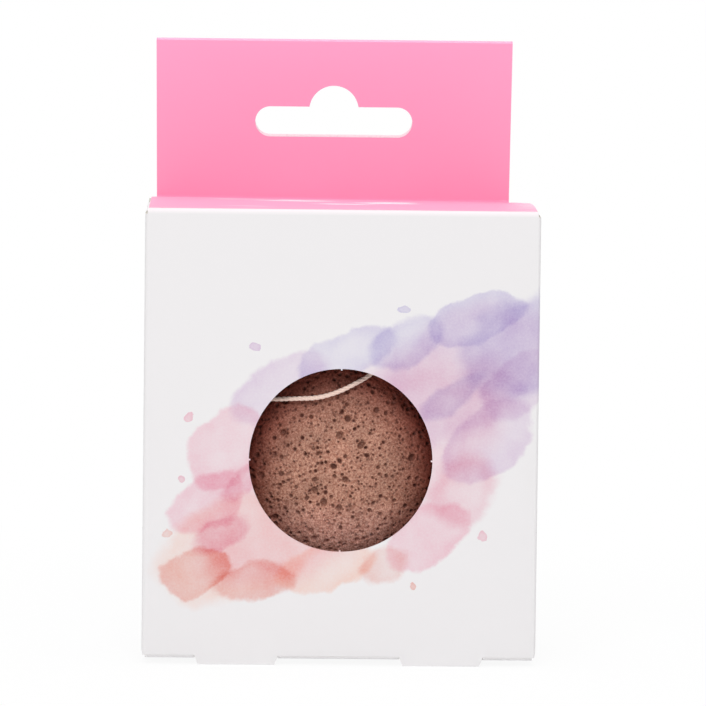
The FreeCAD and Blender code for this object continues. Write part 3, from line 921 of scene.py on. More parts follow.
@dataclass
class Sleeve(BoardPiece):
    """Front, sides and back as one sheet wrapped round four creases, with the window and the feet."""

    MAP = "blank"

    width: float = 80.0
    depth: float = 40.0
    roll: float = 0.45
    front_bottom: float = 1.85
    front_top: float = 92.65
    side_bottom: float = 2.8
    side_top: float = 91.4
    back_bottom: float = 1.8
    back_top: float = 92.6
    # The other panels' ends lie within this of the back's.
    end_reach: float = 1.0
    foot_middle: float = 20.8
    foot_root: float = 17.0
    foot_tip: float = 15.5
    shoulder_start: float = 33.5
    shoulder_drop: float = 0.7
    window_up: float = 41.8
    window_radius: float = 18.6
    nick: float = 0.32

    def build(self, outer: Material, fibre: Material) -> None:
        """Wrap the sheet, draw down the feet, thicken it and cut the window.

        Args:
            outer: material of the outside.
            fibre: material of the inside.
        """
        wide, deep = (self.width - self.board) / 2, (self.depth - self.board) / 2
        low, high = self.back_bottom, self.back_top
        piece = add_sheet("carton_sleeve", (-wide, -deep, low), (wide, deep, low))
        pick(piece, Pick.VERTEX, lambda at: True)
        bpy.ops.mesh.bevel(offset=self.roll * MM, segments=4, affect="VERTICES")
        bpy.ops.mesh.select_all(action="SELECT")
        bpy.ops.mesh.delete(type="ONLY_FACE")
        pick(piece, Pick.EDGE, lambda at: True)
        extrude_picked(0, 0, high - low)
        root = self.foot_root / 2
        cut_across(Axis.X, self.shoulder_start,
                   *[side * self.foot_middle + end * root for side in (-1, 1) for end in (-1, 1)])
        cut_across(Axis.Z, (low + high) / 2)
        self.set_heights(piece, deep)
        pick(piece, Pick.EDGE, lambda at: (
            at.y < self.roll - deep and at.z < low + self.end_reach
            and abs(abs(at.x) - self.foot_middle) < root))
        extrude_picked(0, 0, -self.front_bottom)
        for hand in Hand:
            pick(piece, Pick.VERTEX, lambda at: at.z < NEAR and at.x * hand.value > 0)
            bpy.ops.transform.resize(value=(self.foot_tip / self.foot_root, 1, 1),
                                     center_override=mm(hand.value * self.foot_middle, -deep, 0))
        self.finish(piece, Vector((0, -1, 0)), outer, fibre,
                    "front_panel", "left_side_panel", "right_side_panel", "back_panel")
        cut_with(piece, self.window_punch())
        self.map_blank(piece)
        smooth(piece)
        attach(piece, "sleeve")

    def set_heights(self, piece: Object, deep: float) -> None:
        """Move the ends of the front and sides to their own heights, and drop the back's right shoulder.

        Args:
            piece: the wrapped sheet, in edit mode.
            deep: how far the front and the back lie from the middle.
        """
        low, high = self.back_bottom, self.back_top
        upper, lower = high - self.end_reach, low + self.end_reach
        flat_front, corner = NEAR - deep, deep - self.roll / 2
        for test, shift in (
                (lambda at: at.z > upper and at.y < flat_front, self.front_top - high),
                (lambda at: at.z > upper and flat_front < at.y < corner, self.side_top - high),
                (lambda at: at.z > upper and at.y > corner and at.x > self.shoulder_start + NEAR,
                 -self.shoulder_drop),
                (lambda at: at.z < lower and at.y < -corner, self.front_bottom - low),
                (lambda at: at.z < lower and abs(at.y) < corner, self.side_bottom - low)):
            pick(piece, Pick.VERTEX, test)
            move_picked(0, 0, shift)

    def window_punch(self) -> Object:
        """Make the round punch for the window, notched where the punch left four nicks of board.

        Returns:
            The punch.
        """
        deselect_all()
        centre = Vector(mm(0, -self.depth / 2, self.window_up))
        bpy.ops.mesh.primitive_cylinder_add(vertices=160, radius=self.window_radius * MM, depth=4 * MM,
                                            location=centre, rotation=(math.pi / 2, 0, 0))
        punch = name_new("window_punch")
        for quarter in range(4):
            turn = quarter * math.pi / 2
            outward = Vector((math.sin(turn), 0, math.cos(turn)))
            deselect_all()
            bpy.ops.mesh.primitive_cube_add(size=1, location=centre + outward * self.window_radius * MM,
                                            rotation=(0, turn, 0))
            bpy.context.object.scale = mm(self.nick, 6, 2 * self.nick)
            cut_with(punch, name_new("nick"))
        return punch

    def map_blank(self, piece: Object) -> None:
        """Map the sheet as the flat blank it is printed on: across from the front's middle, and up.

        Args:
            piece: the finished sleeve.
        """
        mesh = piece.data
        layer = mesh.uv_layers.new(name=self.MAP)
        wide, deep = self.width / 2 * MM, self.depth / 2 * MM
        corner = (self.board / 2 + self.roll) * MM
        for face in mesh.polygons:
            for loop in face.loop_indices:
                at = mesh.vertices[mesh.loops[loop].vertex_index].co
                behind = max(at.y + deep, 0) if abs(at.x) > wide - corner else 0
                across = at.x + math.copysign(behind, at.x)
                if face.normal.y > 0.7:
                    across = 2 * (wide + deep) - at.x
                layer.data[loop].uv = (across, at.z)


@dataclass
class Header(BoardPiece):
    """The pink header: the back carried up, folded over at the top and glued down behind the lid."""

    slot: str = "pink_board"
    left: float = -38.2
    right: float = 35.1
    foot_back: float = 92.6
    foot_front: float = 93.0
    top: float = 126.0
    back_face: float = 20.0
    glue_line: float = 0.03
    slot_middle: float = 108.85
    slot_width: float = 32.7
    slot_height: float = 6.3
    crown_radius: float = 5.15
    crown_sink: float = 0.76
    rear_shift: float = 0.5
    punch_reach: float = 1.5
    flare: float = 0.75

    def build(self, outer: Material, fibre: Material) -> None:
        """Fold the sheet over at the top, thicken it and punch the hanging slot.

        Args:
            outer: material of the outside.
            fibre: material of the inside.
        """
        ply = self.board - self.glue_line
        rear = self.back_face - ply / 2
        front = self.back_face - 2 * self.board + ply / 2
        bend = (rear - front) / 2
        fold = self.top - ply / 2 - bend
        piece = add_edge("carton_header", self.left, self.right, rear, self.foot_back)
        extrude_picked(0, 0, fold - self.foot_back)
        pick(piece, Pick.EDGE, lambda at: at.z > fold - NEAR)
        spin_picked((0, rear - bend, fold), (1, 0, 0), 180, 8)
        pick(piece, Pick.EDGE, lambda at: abs(at.z - fold) < NEAR and at.y < rear - 1.5 * bend)
        extrude_picked(0, 0, self.foot_front - fold)
        pick(piece, Pick.VERTEX, lambda at: at.z > fold - NEAR)
        bpy.ops.transform.resize(value=(1 + self.flare / (self.right - self.left), 1, 1),
                                 center_override=mm((self.left + self.right) / 2, 0, 0))
        self.finish(piece, Vector((0, -1, 0)), outer, fibre, "header_rear_ply", "header_front_ply",
                    board=ply)
        middle = self.back_face - self.board
        cut_with(piece, self.slot_punch(middle - self.punch_reach, middle, 0))
        cut_with(piece, self.slot_punch(middle, middle + self.punch_reach, self.rear_shift))
        keep_place(piece)
        smooth(piece)
        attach(piece, "sleeve")

    def slot_punch(self, near: float, far: float, lift: float) -> Object:
        """Make the punch for one ply's slot: a bar with round ends under a round crown.

        Args:
            near: where the punch starts along Y.
            far: where it ends.
            lift: how much higher this ply's slot lies.

        Returns:
            The punch.
        """
        across = (self.left + self.right) / 2
        up = self.slot_middle + lift
        end = self.slot_height / 2
        reach = self.slot_width / 2 - end
        crown = up + end - self.crown_sink
        deselect_all()
        bpy.ops.mesh.primitive_cube_add(size=1, location=mm(across, (near + far) / 2, up))
        bpy.context.object.scale = mm(2 * reach, far - near, self.slot_height)
        punch = name_new("slot_punch")
        for place, height, radius, sides in (
                (across - reach, up, end, 48), (across + reach, up, end, 48),
                (across, crown, self.crown_radius, 64)):
            deselect_all()
            bpy.ops.mesh.primitive_cylinder_add(
                vertices=sides, radius=radius * MM, depth=(far - near) * MM,
                location=mm(place, (near + far) / 2, height), rotation=(math.pi / 2, 0, 0))
            round_end = name_new("slot_round")
            apply_modifier(punch, "BOOLEAN", operation="UNION", object=round_end, solver="EXACT")
            bpy.data.objects.remove(round_end)
        return punch


@dataclass
class TuckEnd(BoardPiece):
    """What the lid and the bottom share: their width, and a tuck flap on their free edge."""

    half_width: float = 39.3
    fold: float = 0.4
    tuck_length: float = 12.0
    tuck_inset: float = 1.2
    tuck_slit: float = 0.3
    tuck_corner: float = 6.0
    tilt: float = 12.0

    def build_tuck(self, panel: str, point: int, root: float, level: float,
                   outer: Material, fibre: Material) -> None:
        """Roll a tuck flap from a panel's free edge and draw it out, with slit shoulders and round corners.

        Args:
            panel: CAD body of the panel.
            point: 1 for a flap that points up and -1 for one that hangs.
            root: where the panel ends along Y.
            level: the panel's height.
            outer: material of the outside.
            fibre: material of the inside.
        """
        centre = Vector((0, root, level + point * self.fold))
        flap = add_edge(f"{panel}_tuck_leaf", -self.half_width, self.half_width, root, level)
        spin_picked(tuple(centre), (1, 0, 0), 90 + self.tilt)
        lean = math.radians(self.tilt)
        along = point * Vector((0, -math.sin(lean), math.cos(lean)))
        start = centre + point * self.fold * Vector((0, math.cos(lean), math.sin(lean)))
        pick(flap, Pick.EDGE, lambda at: (at - start).length < NEAR)
        extrude_picked(*(along * self.tuck_slit))
        bpy.ops.transform.resize(value=(1 - self.tuck_inset / self.half_width, 1, 1),
                                 center_override=(0, 0, 0))
        extrude_picked(*(along * (self.tuck_length - self.tuck_slit)))
        tip = start + along * self.tuck_length
        pick(flap, Pick.VERTEX, lambda at: abs(at.z - tip.z) < NEAR and abs(at.y - tip.y) < NEAR)
        bpy.ops.mesh.bevel(offset=self.tuck_corner * MM, segments=8, affect="VERTICES")
        keep_place(self.finish(flap, Vector((0, point, 0)), outer, fibre, f"{panel}_tuck_flap"))
        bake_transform(flap)


@dataclass
class Lid(TuckEnd):
    """The pink lid on its crease at the header's foot, and the tuck flap on the lid's front crease."""

    slot: str = "pink_board"
    top: float = 92.6
    front: float = -18.6
    rear: float = 18.6
    header_left: float = -38.2
    header_right: float = 35.1
    valley: float = 0.65
    left_corner: float = 1.0
    right_corner: float = 2.2
    lift: float = 0.12
    rack: float = 0.24
    bow: float = 0.5
    taper: float = 1.2
    bow_rows: tuple[float, ...] = (-16.5, -13.0, -8.0, 0.0, 8.0)

    def build(self, outer: Material, fibre: Material) -> None:
        """Build both leaves.

        Args:
            outer: material of the outside.
            fibre: material of the inside.
        """
        middle = self.top - self.board / 2
        piece = add_sheet("lid_leaf", (-self.half_width, self.front, middle),
                          (self.half_width, self.rear, middle))
        for hand, radius in ((Hand.LEFT, self.left_corner), (Hand.RIGHT, self.right_corner)):
            pick(piece, Pick.VERTEX, lambda at: at.y > 0 and at.x * hand.value > self.half_width - NEAR)
            bpy.ops.mesh.bevel(offset=radius * MM, segments=6, affect="VERTICES")
        cut_across(Axis.X, self.header_left, self.header_right)
        pick(piece, Pick.EDGE, lambda at: (
            at.y > self.rear - NEAR and self.header_left < at.x < self.header_right))
        spin_picked((0, self.rear, middle + self.valley), (1, 0, 0), 90)
        # The crease's last row stays at the header's foot.
        for hand in Hand:
            pick(piece, Pick.VERTEX, lambda at: (
                at.y > 0 and at.x * hand.value > 0 and at.z < middle + 0.9 * self.valley))
            move_picked(0, 0, self.lift - hand.value * self.rack)
        cut_across(Axis.Y, *self.bow_rows)
        for row in self.bow_rows:
            pick(piece, Pick.VERTEX, lambda at: at.x > self.header_right + NEAR and abs(at.y - row) < NEAR)
            back = row / self.rear
            move_picked(-self.taper * max(0.0, back) ** 1.5, 0, self.bow * (1 - back ** 2))
        pick(piece, Pick.VERTEX, lambda at: (
            at.x > self.header_right + NEAR and at.y > self.bow_rows[-1] + NEAR))
        move_picked(-self.taper, 0, 0)
        keep_place(self.finish(piece, Vector((0, 0, 1)), outer, fibre, "lid"))
        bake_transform(piece)
        self.build_tuck("lid", -1, self.front, middle, outer, fibre)


@dataclass
class Bottom(TuckEnd):
    """The white bottom on the front's bottom crease, notched behind the feet, and its tuck flap."""

    under: float = 1.3
    crease: float = -19.45
    crease_fold: float = 0.3
    rear: float = 18.1
    notch_in: float = 12.26
    notch_out: float = 29.34
    notch_end: float = -18.1

    def build(self, outer: Material, fibre: Material) -> None:
        """Build both leaves.

        Args:
            outer: material of the outside.
            fibre: material of the inside.
        """
        middle = self.under + self.board / 2
        piece = add_sheet("bottom_leaf", (-self.half_width, self.crease, middle),
                          (self.half_width, self.rear, middle))
        cut_across(Axis.X, -self.notch_out, -self.notch_in, self.notch_in, self.notch_out)
        cut_across(Axis.Y, self.notch_end)
        pick(piece, Pick.FACE, lambda at: (
            at.y < self.notch_end and self.notch_in < abs(at.x) < self.notch_out))
        bpy.ops.mesh.delete(type="FACE")
        pick(piece, Pick.EDGE, lambda at: at.y < self.crease + NEAR)
        spin_picked((0, self.crease, middle + self.crease_fold), (1, 0, 0), -90)
        self.finish(piece, Vector((0, 0, -1)), outer, fibre, "bottom_panel")
        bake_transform(piece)
        self.build_tuck("bottom", 1, self.rear, middle, outer, fibre)


@dataclass
class DustFlaps(BoardPiece):
    """The four flaps that fold in from the sides, under the lid and over the bottom."""

    wall: float = 39.75
    roll: float = 0.3
    top: float = 91.95
    bottom: float = 2.25
    tip: float = 11.5
    tip_corner: float = 3.0
    top_tuck: float = -16.75
    top_hinge: float = 17.38
    bottom_tuck: float = 16.25
    bottom_hinge: float = -17.88
    tuck_taper: float = 2.0
    hinge_taper: float = 15.4

    def build(self, outer: Material, fibre: Material) -> None:
        """Build the four flaps.

        Args:
            outer: material of the outside.
            fibre: material of the inside.
        """
        for hand in Hand:
            for end in End:
                self.build_flap(hand, end, outer, fibre)

    def build_flap(self, hand: Hand, end: End, outer: Material, fibre: Material) -> None:
        """Build one flap and its crease.

        Args:
            hand: the side that it hangs on.
            end: the end that it closes.
            outer: material of the outside.
            fibre: material of the inside.
        """
        side, rise = hand.value, end.value
        at_end, on_side = end.name.lower(), hand.name.lower()
        body = f"{at_end}_dust_{on_side}"
        if end is End.TOP:
            level, tuck, hinge = self.top - self.board / 2, self.top_tuck, self.top_hinge
        else:
            level, tuck, hinge = self.bottom + self.board / 2, self.bottom_tuck, self.bottom_hinge
        root = self.wall - self.roll
        low = (min(side * root, side * self.tip), min(tuck, hinge), level)
        high = (max(side * root, side * self.tip), max(tuck, hinge), level)
        piece = add_sheet(f"{body}_leaf", low, high)
        for edge, taper in ((hinge, -self.hinge_taper), (tuck, self.tuck_taper)):
            pick(piece, Pick.VERTEX, lambda at: abs(at.x) < self.tip + NEAR and abs(at.y - edge) < NEAR)
            move_picked(0, rise * taper, 0)
        pick(piece, Pick.VERTEX, lambda at: abs(at.x) < self.tip + NEAR)
        bpy.ops.mesh.bevel(offset=self.tip_corner * MM, segments=6, affect="VERTICES")
        pick(piece, Pick.EDGE, lambda at: abs(at.x) > root - NEAR)
        spin_picked((side * root, 0, level - rise * self.roll), (0, 1, 0), 90 * side * rise)
        self.finish(piece, Vector((0, 0, rise)), outer, fibre, f"{at_end}_dust_flap_{on_side}")
        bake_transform(piece)


@dataclass(frozen=True)
class PoreKind:
    """One size of pore in the sponge."""

    spacing: float
    smallest: float
    largest: float
    depth: float
    shade: Pair


@dataclass
class Puff:
    """The half-ball sponge: a dome with a round rim and a flat back, pitted all over with open pores."""

    # Attribute that holds the painted shade of each pore, from 0 to 1.
    DEPTH = "pore_depth"

    front: float = -18.3
    back: float = 15.1
    middle: float = 40.25
    radius: float = 38.0
    rim: float = 9.0
    # Above 1, more of the mesh goes to the dome, where the pores are seen.
    crowding: float = 1.35
    seed: int = 7
    pores: tuple[PoreKind, ...] = (
        PoreKind(spacing=7.0, smallest=0.75, largest=1.05, depth=0.8, shade=(0.4, 0.85)),
        PoreKind(spacing=2.4, smallest=0.42, largest=0.66, depth=0.9, shade=(0.55, 1.0)),
        PoreKind(spacing=1.2, smallest=0.27, largest=0.42, depth=0.7, shade=(0.45, 0.95)),
    )
    pore_wall: float = 0.55
    pore_stretch: float = 1.2
    pore_oval: float = 0.6
    pore_depths: Pair = (0.7, 1.3)
    # A pore isn't sunk where others already shade the skin this much, within this share of its radius.
    taken: float = 0.1
    apart: float = 0.8
    lump_size: float = 11.0
    lump_middle: float = 0.25
    lump_height: float = 0.35
    lump_most: float = 0.8
    mouths: tuple[Triple, ...] = ((10.0, -5.1, 70.0), (10.0, 15.1, 70.0))
    mouth_radius: float = 1.3
    mouth_wall: float = 0.5
    mouth_depth: float = 2.5

    def profile(self, share: np.ndarray) -> list[np.ndarray]:
        """Follow the sponge's outline from the top of the dome to the middle of its back.

        Args:
            share: part of the way along the outline.

        Returns:
            Distance from the axis and place along Y, and the same for the outward normal.
        """
        rim_across, rim_along = self.radius - self.rim, self.back - self.rim
        reach = rim_along - self.front
        dome = (rim_across ** 2 + reach ** 2 - self.rim ** 2) / (2 * (reach - self.rim))
        centre = self.front + dome
        turn = math.atan2(rim_along - centre, rim_across)
        lengths = np.array([dome * (turn + math.pi / 2), self.rim * (math.pi / 2 - turn), rim_across])
        along = share * lengths.sum()
        on_dome = -math.pi / 2 + along / dome
        on_rim = turn + (along - lengths[0]) / self.rim
        flat = np.clip(rim_across - (along - lengths[:2].sum()), 0, None)
        where = [along < lengths[0], along < lengths[:2].sum()]
        return [np.select(where, [by_dome, by_rim], by_back) for by_dome, by_rim, by_back in (
            (dome * np.cos(on_dome), rim_across + self.rim * np.cos(on_rim), flat),
            (centre + dome * np.sin(on_dome), rim_along + self.rim * np.sin(on_rim), self.back),
            (np.cos(on_dome), np.cos(on_rim), 0.0),
            (np.sin(on_dome), np.sin(on_rim), 1.0))]

    def build(self, foam: Material) -> Object:
        """Shape a ball into the puff and sink its pores.

        Args:
            foam: the sponge's material.

        Returns:
            The sponge.
        """
        deselect_all()
        bpy.ops.mesh.primitive_ico_sphere_add(subdivisions=8, radius=1)
        piece = name_new("sponge_puff")
        mesh = piece.data
        ball = np.empty(len(mesh.vertices) * 3)
        mesh.vertices.foreach_get("co", ball)
        ball = ball.reshape(-1, 3)
        polar = np.arccos(np.clip(-ball[:, 1] / np.linalg.norm(ball, axis=1), -1, 1)) / math.pi
        ring = np.arctan2(ball[:, 2], ball[:, 0])
        across, along, out_across, out_along = self.profile(polar ** self.crowding)
        spots = np.stack([across * np.cos(ring), along, self.middle + across * np.sin(ring)], 1)
        outward = np.stack([out_across * np.cos(ring), out_along, out_across * np.sin(ring)], 1)
        corners = np.empty(len(mesh.polygons) * 3, dtype=np.int32)
        mesh.polygons.foreach_get("vertices", corners)
        sunk, depth = self.sink_pores(spots, corners.reshape(-1, 3))
        lumps = np.array([noise.fractal(Vector(spot) / self.lump_size, 1.0, 2.0, 3) for spot in spots])
        sunk += np.clip(self.lump_middle - self.lump_height * lumps, 0.0, self.lump_most)
        placed = (spots - outward * sunk[:, None]) * MM
        mesh.vertices.foreach_set("co", placed.ravel())
        shade = mesh.attributes.new(self.DEPTH, "FLOAT", "POINT")
        shade.data.foreach_set("value", depth.astype(np.float32))
        make_active(piece)
        bpy.ops.object.shade_smooth()
        dress(piece, foam)
        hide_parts("sponge")
        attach(piece, "sponge")
        return piece

    def sink_pores(self, spots: np.ndarray, corners: np.ndarray) -> tuple[np.ndarray, np.ndarray]:
        """Scatter pores of each size over the surface and work out how deep each point sinks.

        Args:
            spots: points of the smooth puff in millimetres.
            corners: the three points of each face.

        Returns:
            How far each point sinks, and how much painted shade its pore gets, from 0 to 1.
        """
        edges = spots[corners[:, 1:]] - spots[corners[:, :1]]
        faces = np.linalg.norm(np.cross(edges[:, 0], edges[:, 1]), axis=1) / 2
        tree = kdtree.KDTree(len(spots))
        for index, spot in enumerate(spots):
            tree.insert(spot, index)
        tree.balance()
        draw = np.random.default_rng(self.seed)
        sunk = np.zeros(len(spots))
        depth = np.zeros(len(spots))
        for kind in self.pores:
            count = int(faces.sum() / kind.spacing ** 2)
            for index in corners[draw.choice(len(faces), size=count, p=faces / faces.sum()), 0]:
                radius = draw.uniform(kind.smallest, kind.largest)
                floor = kind.depth * radius * draw.uniform(*self.pore_depths)
                dark = draw.uniform(*kind.shade)
                near = tree.find_range(spots[index], self.apart * radius)
                if any(depth[other] > self.taken for _, other, _ in near):
                    continue
                # A pore is an oval: its lie is the way that it is drawn out.
                lie = draw.normal(size=3)
                lie *= math.sqrt(draw.uniform(0.0, self.pore_oval)) / np.linalg.norm(lie)
                for spot, other, away in tree.find_range(spots[index], self.pore_stretch * radius):
                    drawn_out = (np.array(spot) - spots[index]) @ lie
                    away = self.pore_stretch * math.sqrt(max(0.0, away ** 2 - drawn_out ** 2))
                    edge = min(1.0, max(0.0, (radius - away) / (self.pore_wall * radius)))
                    wall = edge * edge * (3 - 2 * edge)
                    sunk[other] = max(sunk[other], floor * wall)
                    depth[other] = max(depth[other], dark * wall)
        # The string's mouths sink and get full painted shade.
        for mouth in self.mouths:
            for _, other, away in tree.find_range(mouth, self.mouth_radius):
                wall = min(1.0, (self.mouth_radius - away) / self.mouth_wall)
                sunk[other] = max(sunk[other], self.mouth_depth * wall)
                depth[other] = max(depth[other], wall)
        return sunk, depth


@dataclass
class HangString:
    """The cotton string: three strands twisted together, from the sponge's back over to its front."""

    diameter: float = 1.0
    strands: int = 3
    strand_share: float = 0.27
    lay: float = 3.2
    length: float = 119.5
    hole: Pair = (10.0, 70.0)
    rear_mouth: float = 15.1
    front_mouth: float = -5.1
    # Points of the free string: X and Z from the hole, Y in the carton.
    route: tuple[Triple, ...] = (
        (0.0, 15.1, 0.0), (0.0, 17.0, 0.0), (-0.1, 18.2, 1.8), (-0.3, 18.2, 4.4), (-0.8, 16.0, 7.6),
        (-2.4, 12.0, 9.6), (-6.0, 8.6, 10.4), (-12.6, 6.8, 10.2), (-19.0, 5.2, 9.0), (-25.0, 2.6, 6.4),
        (-30.4, -0.2, 2.2), (-34.6, -1.8, -3.4), (-36.8, -4.4, -9.4), (-34.8, -8.8, -14.2),
        (-30.0, -12.6, -16.2), (-24.2, -15.1, -16.3), (-19.2, -16.4, -16.0), (-14.7, -17.0, -15.8),
        (-10.7, -16.9, -14.6), (-7.6, -16.4, -13.1), (-3.9, -15.2, -11.1), (-0.8, -13.2, -7.8),
        (0.7, -11.2, -4.2), (0.6, -9.2, -1.0), (0.0, -7.1, 0.0), (0.0, -5.1, 0.0),
    )
    knot_middle: Triple = (0.7, 7.7, 80.3)
    knot_along: Triple = (-6.6, -1.8, -0.2)
    knot_strand: float = 0.42
    knot_width: float = 0.34
    knot_rise: float = 0.62

    def build(self, cotton: Material) -> list[Object]:
        """Twist the free string, the stretch inside the sponge and the knot.

        Args:
            cotton: the string's material.

        Returns:
            The three pieces.
        """
        across, up = self.hole
        path = self.smooth_route([(across + x, y, up + z) for x, y, z in self.route])
        free = self.twist("hang_string_twist", path, cotton)
        inside = self.rear_mouth - self.front_mouth
        core = self.twist("string_core_twist", self.smooth_route([
            (across, self.front_mouth + share * inside, up) for share in (0, 0.25, 0.5, 0.75, 1)]), cotton)
        knot = self.tie_knot(cotton)
        for piece, node in ((free, "hang_string"), (core, "string_core"), (knot, "string_knot")):
            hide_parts(node)
            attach(piece, "sponge")
        return [free, core, knot]

    def new_curve(self, name: str, radius: float = 0.0, roundness: int = 0) -> Curve:
        """Start a curve.

        Args:
            name: its name.
            radius: its thickness about its line, in metres.
            roundness: how finely it is rounded.

        Returns:
            The curve.
        """
        curve = bpy.data.curves.new(name, "CURVE")
        curve.dimensions = "3D"
        curve.bevel_depth = radius
        curve.bevel_resolution = roundness
        curve.use_fill_caps = radius > 0
        return curve

    def lay_line(self, curve: Curve, kind: Line, points: list[Vector], closed: bool = False) -> None:
        """Lay a line by its points into a curve.

        Args:
            curve: the curve.
            kind: how the line runs.
            points: its points in metres.
            closed: whether it ends where it starts.
        """
        line = curve.splines.new(kind.value)
        line.points.add(len(points) - 1)
        for control, point in zip(line.points, points):
            control.co = (*point, 1)
        line.order_u = 3
        line.use_cyclic_u = closed
        line.use_endpoint_u = not closed

    def smooth_route(self, points: list[Triple]) -> list[Vector]:
        """Read even points along one smooth NURBS line.

        Args:
            points: control points in millimetres.

        Returns:
            Points along the line in metres.
        """
        curve = self.new_curve("string_route")
        self.lay_line(curve, Line.SMOOTH, [Vector(mm(*point)) for point in points])
        holder = bpy.data.objects.new("string_route", curve)
        bpy.context.scene.collection.objects.link(holder)
        drawn = holder.evaluated_get(bpy.context.evaluated_depsgraph_get())
        mesh = bpy.data.meshes.new_from_object(drawn)
        read = [vertex.co.copy() for vertex in mesh.vertices]
        bpy.data.objects.remove(holder)
        bpy.data.curves.remove(curve)
        bpy.data.meshes.remove(mesh)
        return read

    def twist(self, name: str, path: list[Vector], cotton: Material) -> Object:
        """Lay the strands round a line as a twisted string.

        Args:
            name: name of the piece.
            path: points along the line in metres.
            cotton: the string's material.

        Returns:
            The piece.
        """
        strand = self.diameter * MM * self.strand_share
        ring = self.diameter * MM / 2 - strand
        lines: list[list[Vector]] = [[] for _ in range(self.strands)]
        side = (path[1] - path[0]).orthogonal().normalized()
        travelled = 0.0
        for index, point in enumerate(path):
            ahead = path[min(index + 1, len(path) - 1)] - path[max(index - 1, 0)]
            ahead.normalize()
            side = (side - ahead * side.dot(ahead)).normalized()
            if index:
                travelled += (point - path[index - 1]).length
            for number, line in enumerate(lines):
                turn = math.tau * (travelled / (self.lay * MM) + number / self.strands)
                line.append(point + Quaternion(ahead, turn) @ side * ring)
        curve = self.new_curve(name, strand, 2)
        for line in lines:
            self.lay_line(curve, Line.STRAIGHT, line)
        return self.to_mesh(name, curve, cotton)

    def to_mesh(self, name: str, curve: Curve, cotton: Material) -> Object:
        """Turn a round curve into a dressed mesh piece.

        Args:
            name: name of the piece.
            curve: the curve.
            cotton: the string's material.

        Returns:
            The piece.
        """
        piece = bpy.data.objects.new(name, curve)
        bpy.context.scene.collection.objects.link(piece)
        make_active(piece)
        bpy.ops.object.convert(target="MESH")
        piece = name_new(name)
        bpy.ops.object.shade_smooth()
        dress(piece, cotton)
        return piece

    def tie_knot(self, cotton: Material) -> Object:
        """Tie the overhand knot that closes the loop, with two short ends.

        Args:
            cotton: the string's material.

        Returns:
            The knot.
        """
        frame = Vector(self.knot_along).to_track_quat("Z", "Y").to_matrix().to_4x4()
        frame.translation = Vector(self.knot_middle) * MM
        # The closed loop is a trefoil, the shape of an overhand knot with its ends joined.
        turns = [math.tau * step / 48 for step in range(48)]
        loop = [(self.knot_width * (math.sin(turn) + 2 * math.sin(2 * turn)),
                 self.knot_width * (math.cos(turn) - 2 * math.cos(2 * turn)),
                 -self.knot_rise * math.sin(3 * turn)) for turn in turns]
        tails = [[(0.2 * side, 0.5 * side, 0.4), (0.8 * side, 1.0 * side, 1.2),
                  (1.1 * side, 1.5, 2.6 + 0.5 * side), (1.7 * side, 1.3, 4.0 + 0.8 * side)]
                 for side in (-1, 1)]
        curve = self.new_curve("string_knot_tie", self.knot_strand * MM, 3)
        for points in (loop, *tails):
            placed = [frame @ Vector(mm(*point)) for point in points]
            self.lay_line(curve, Line.SMOOTH, placed, closed=points is loop)
        return self.to_mesh("string_knot_tie", curve, cotton)


@dataclass(frozen=True)
class Lamp:
    """One soft studio lamp, with its places and sizes in metres and its power in watts."""

    name: str
    place: Triple
    aim: Triple
    size: Pair
    power: float


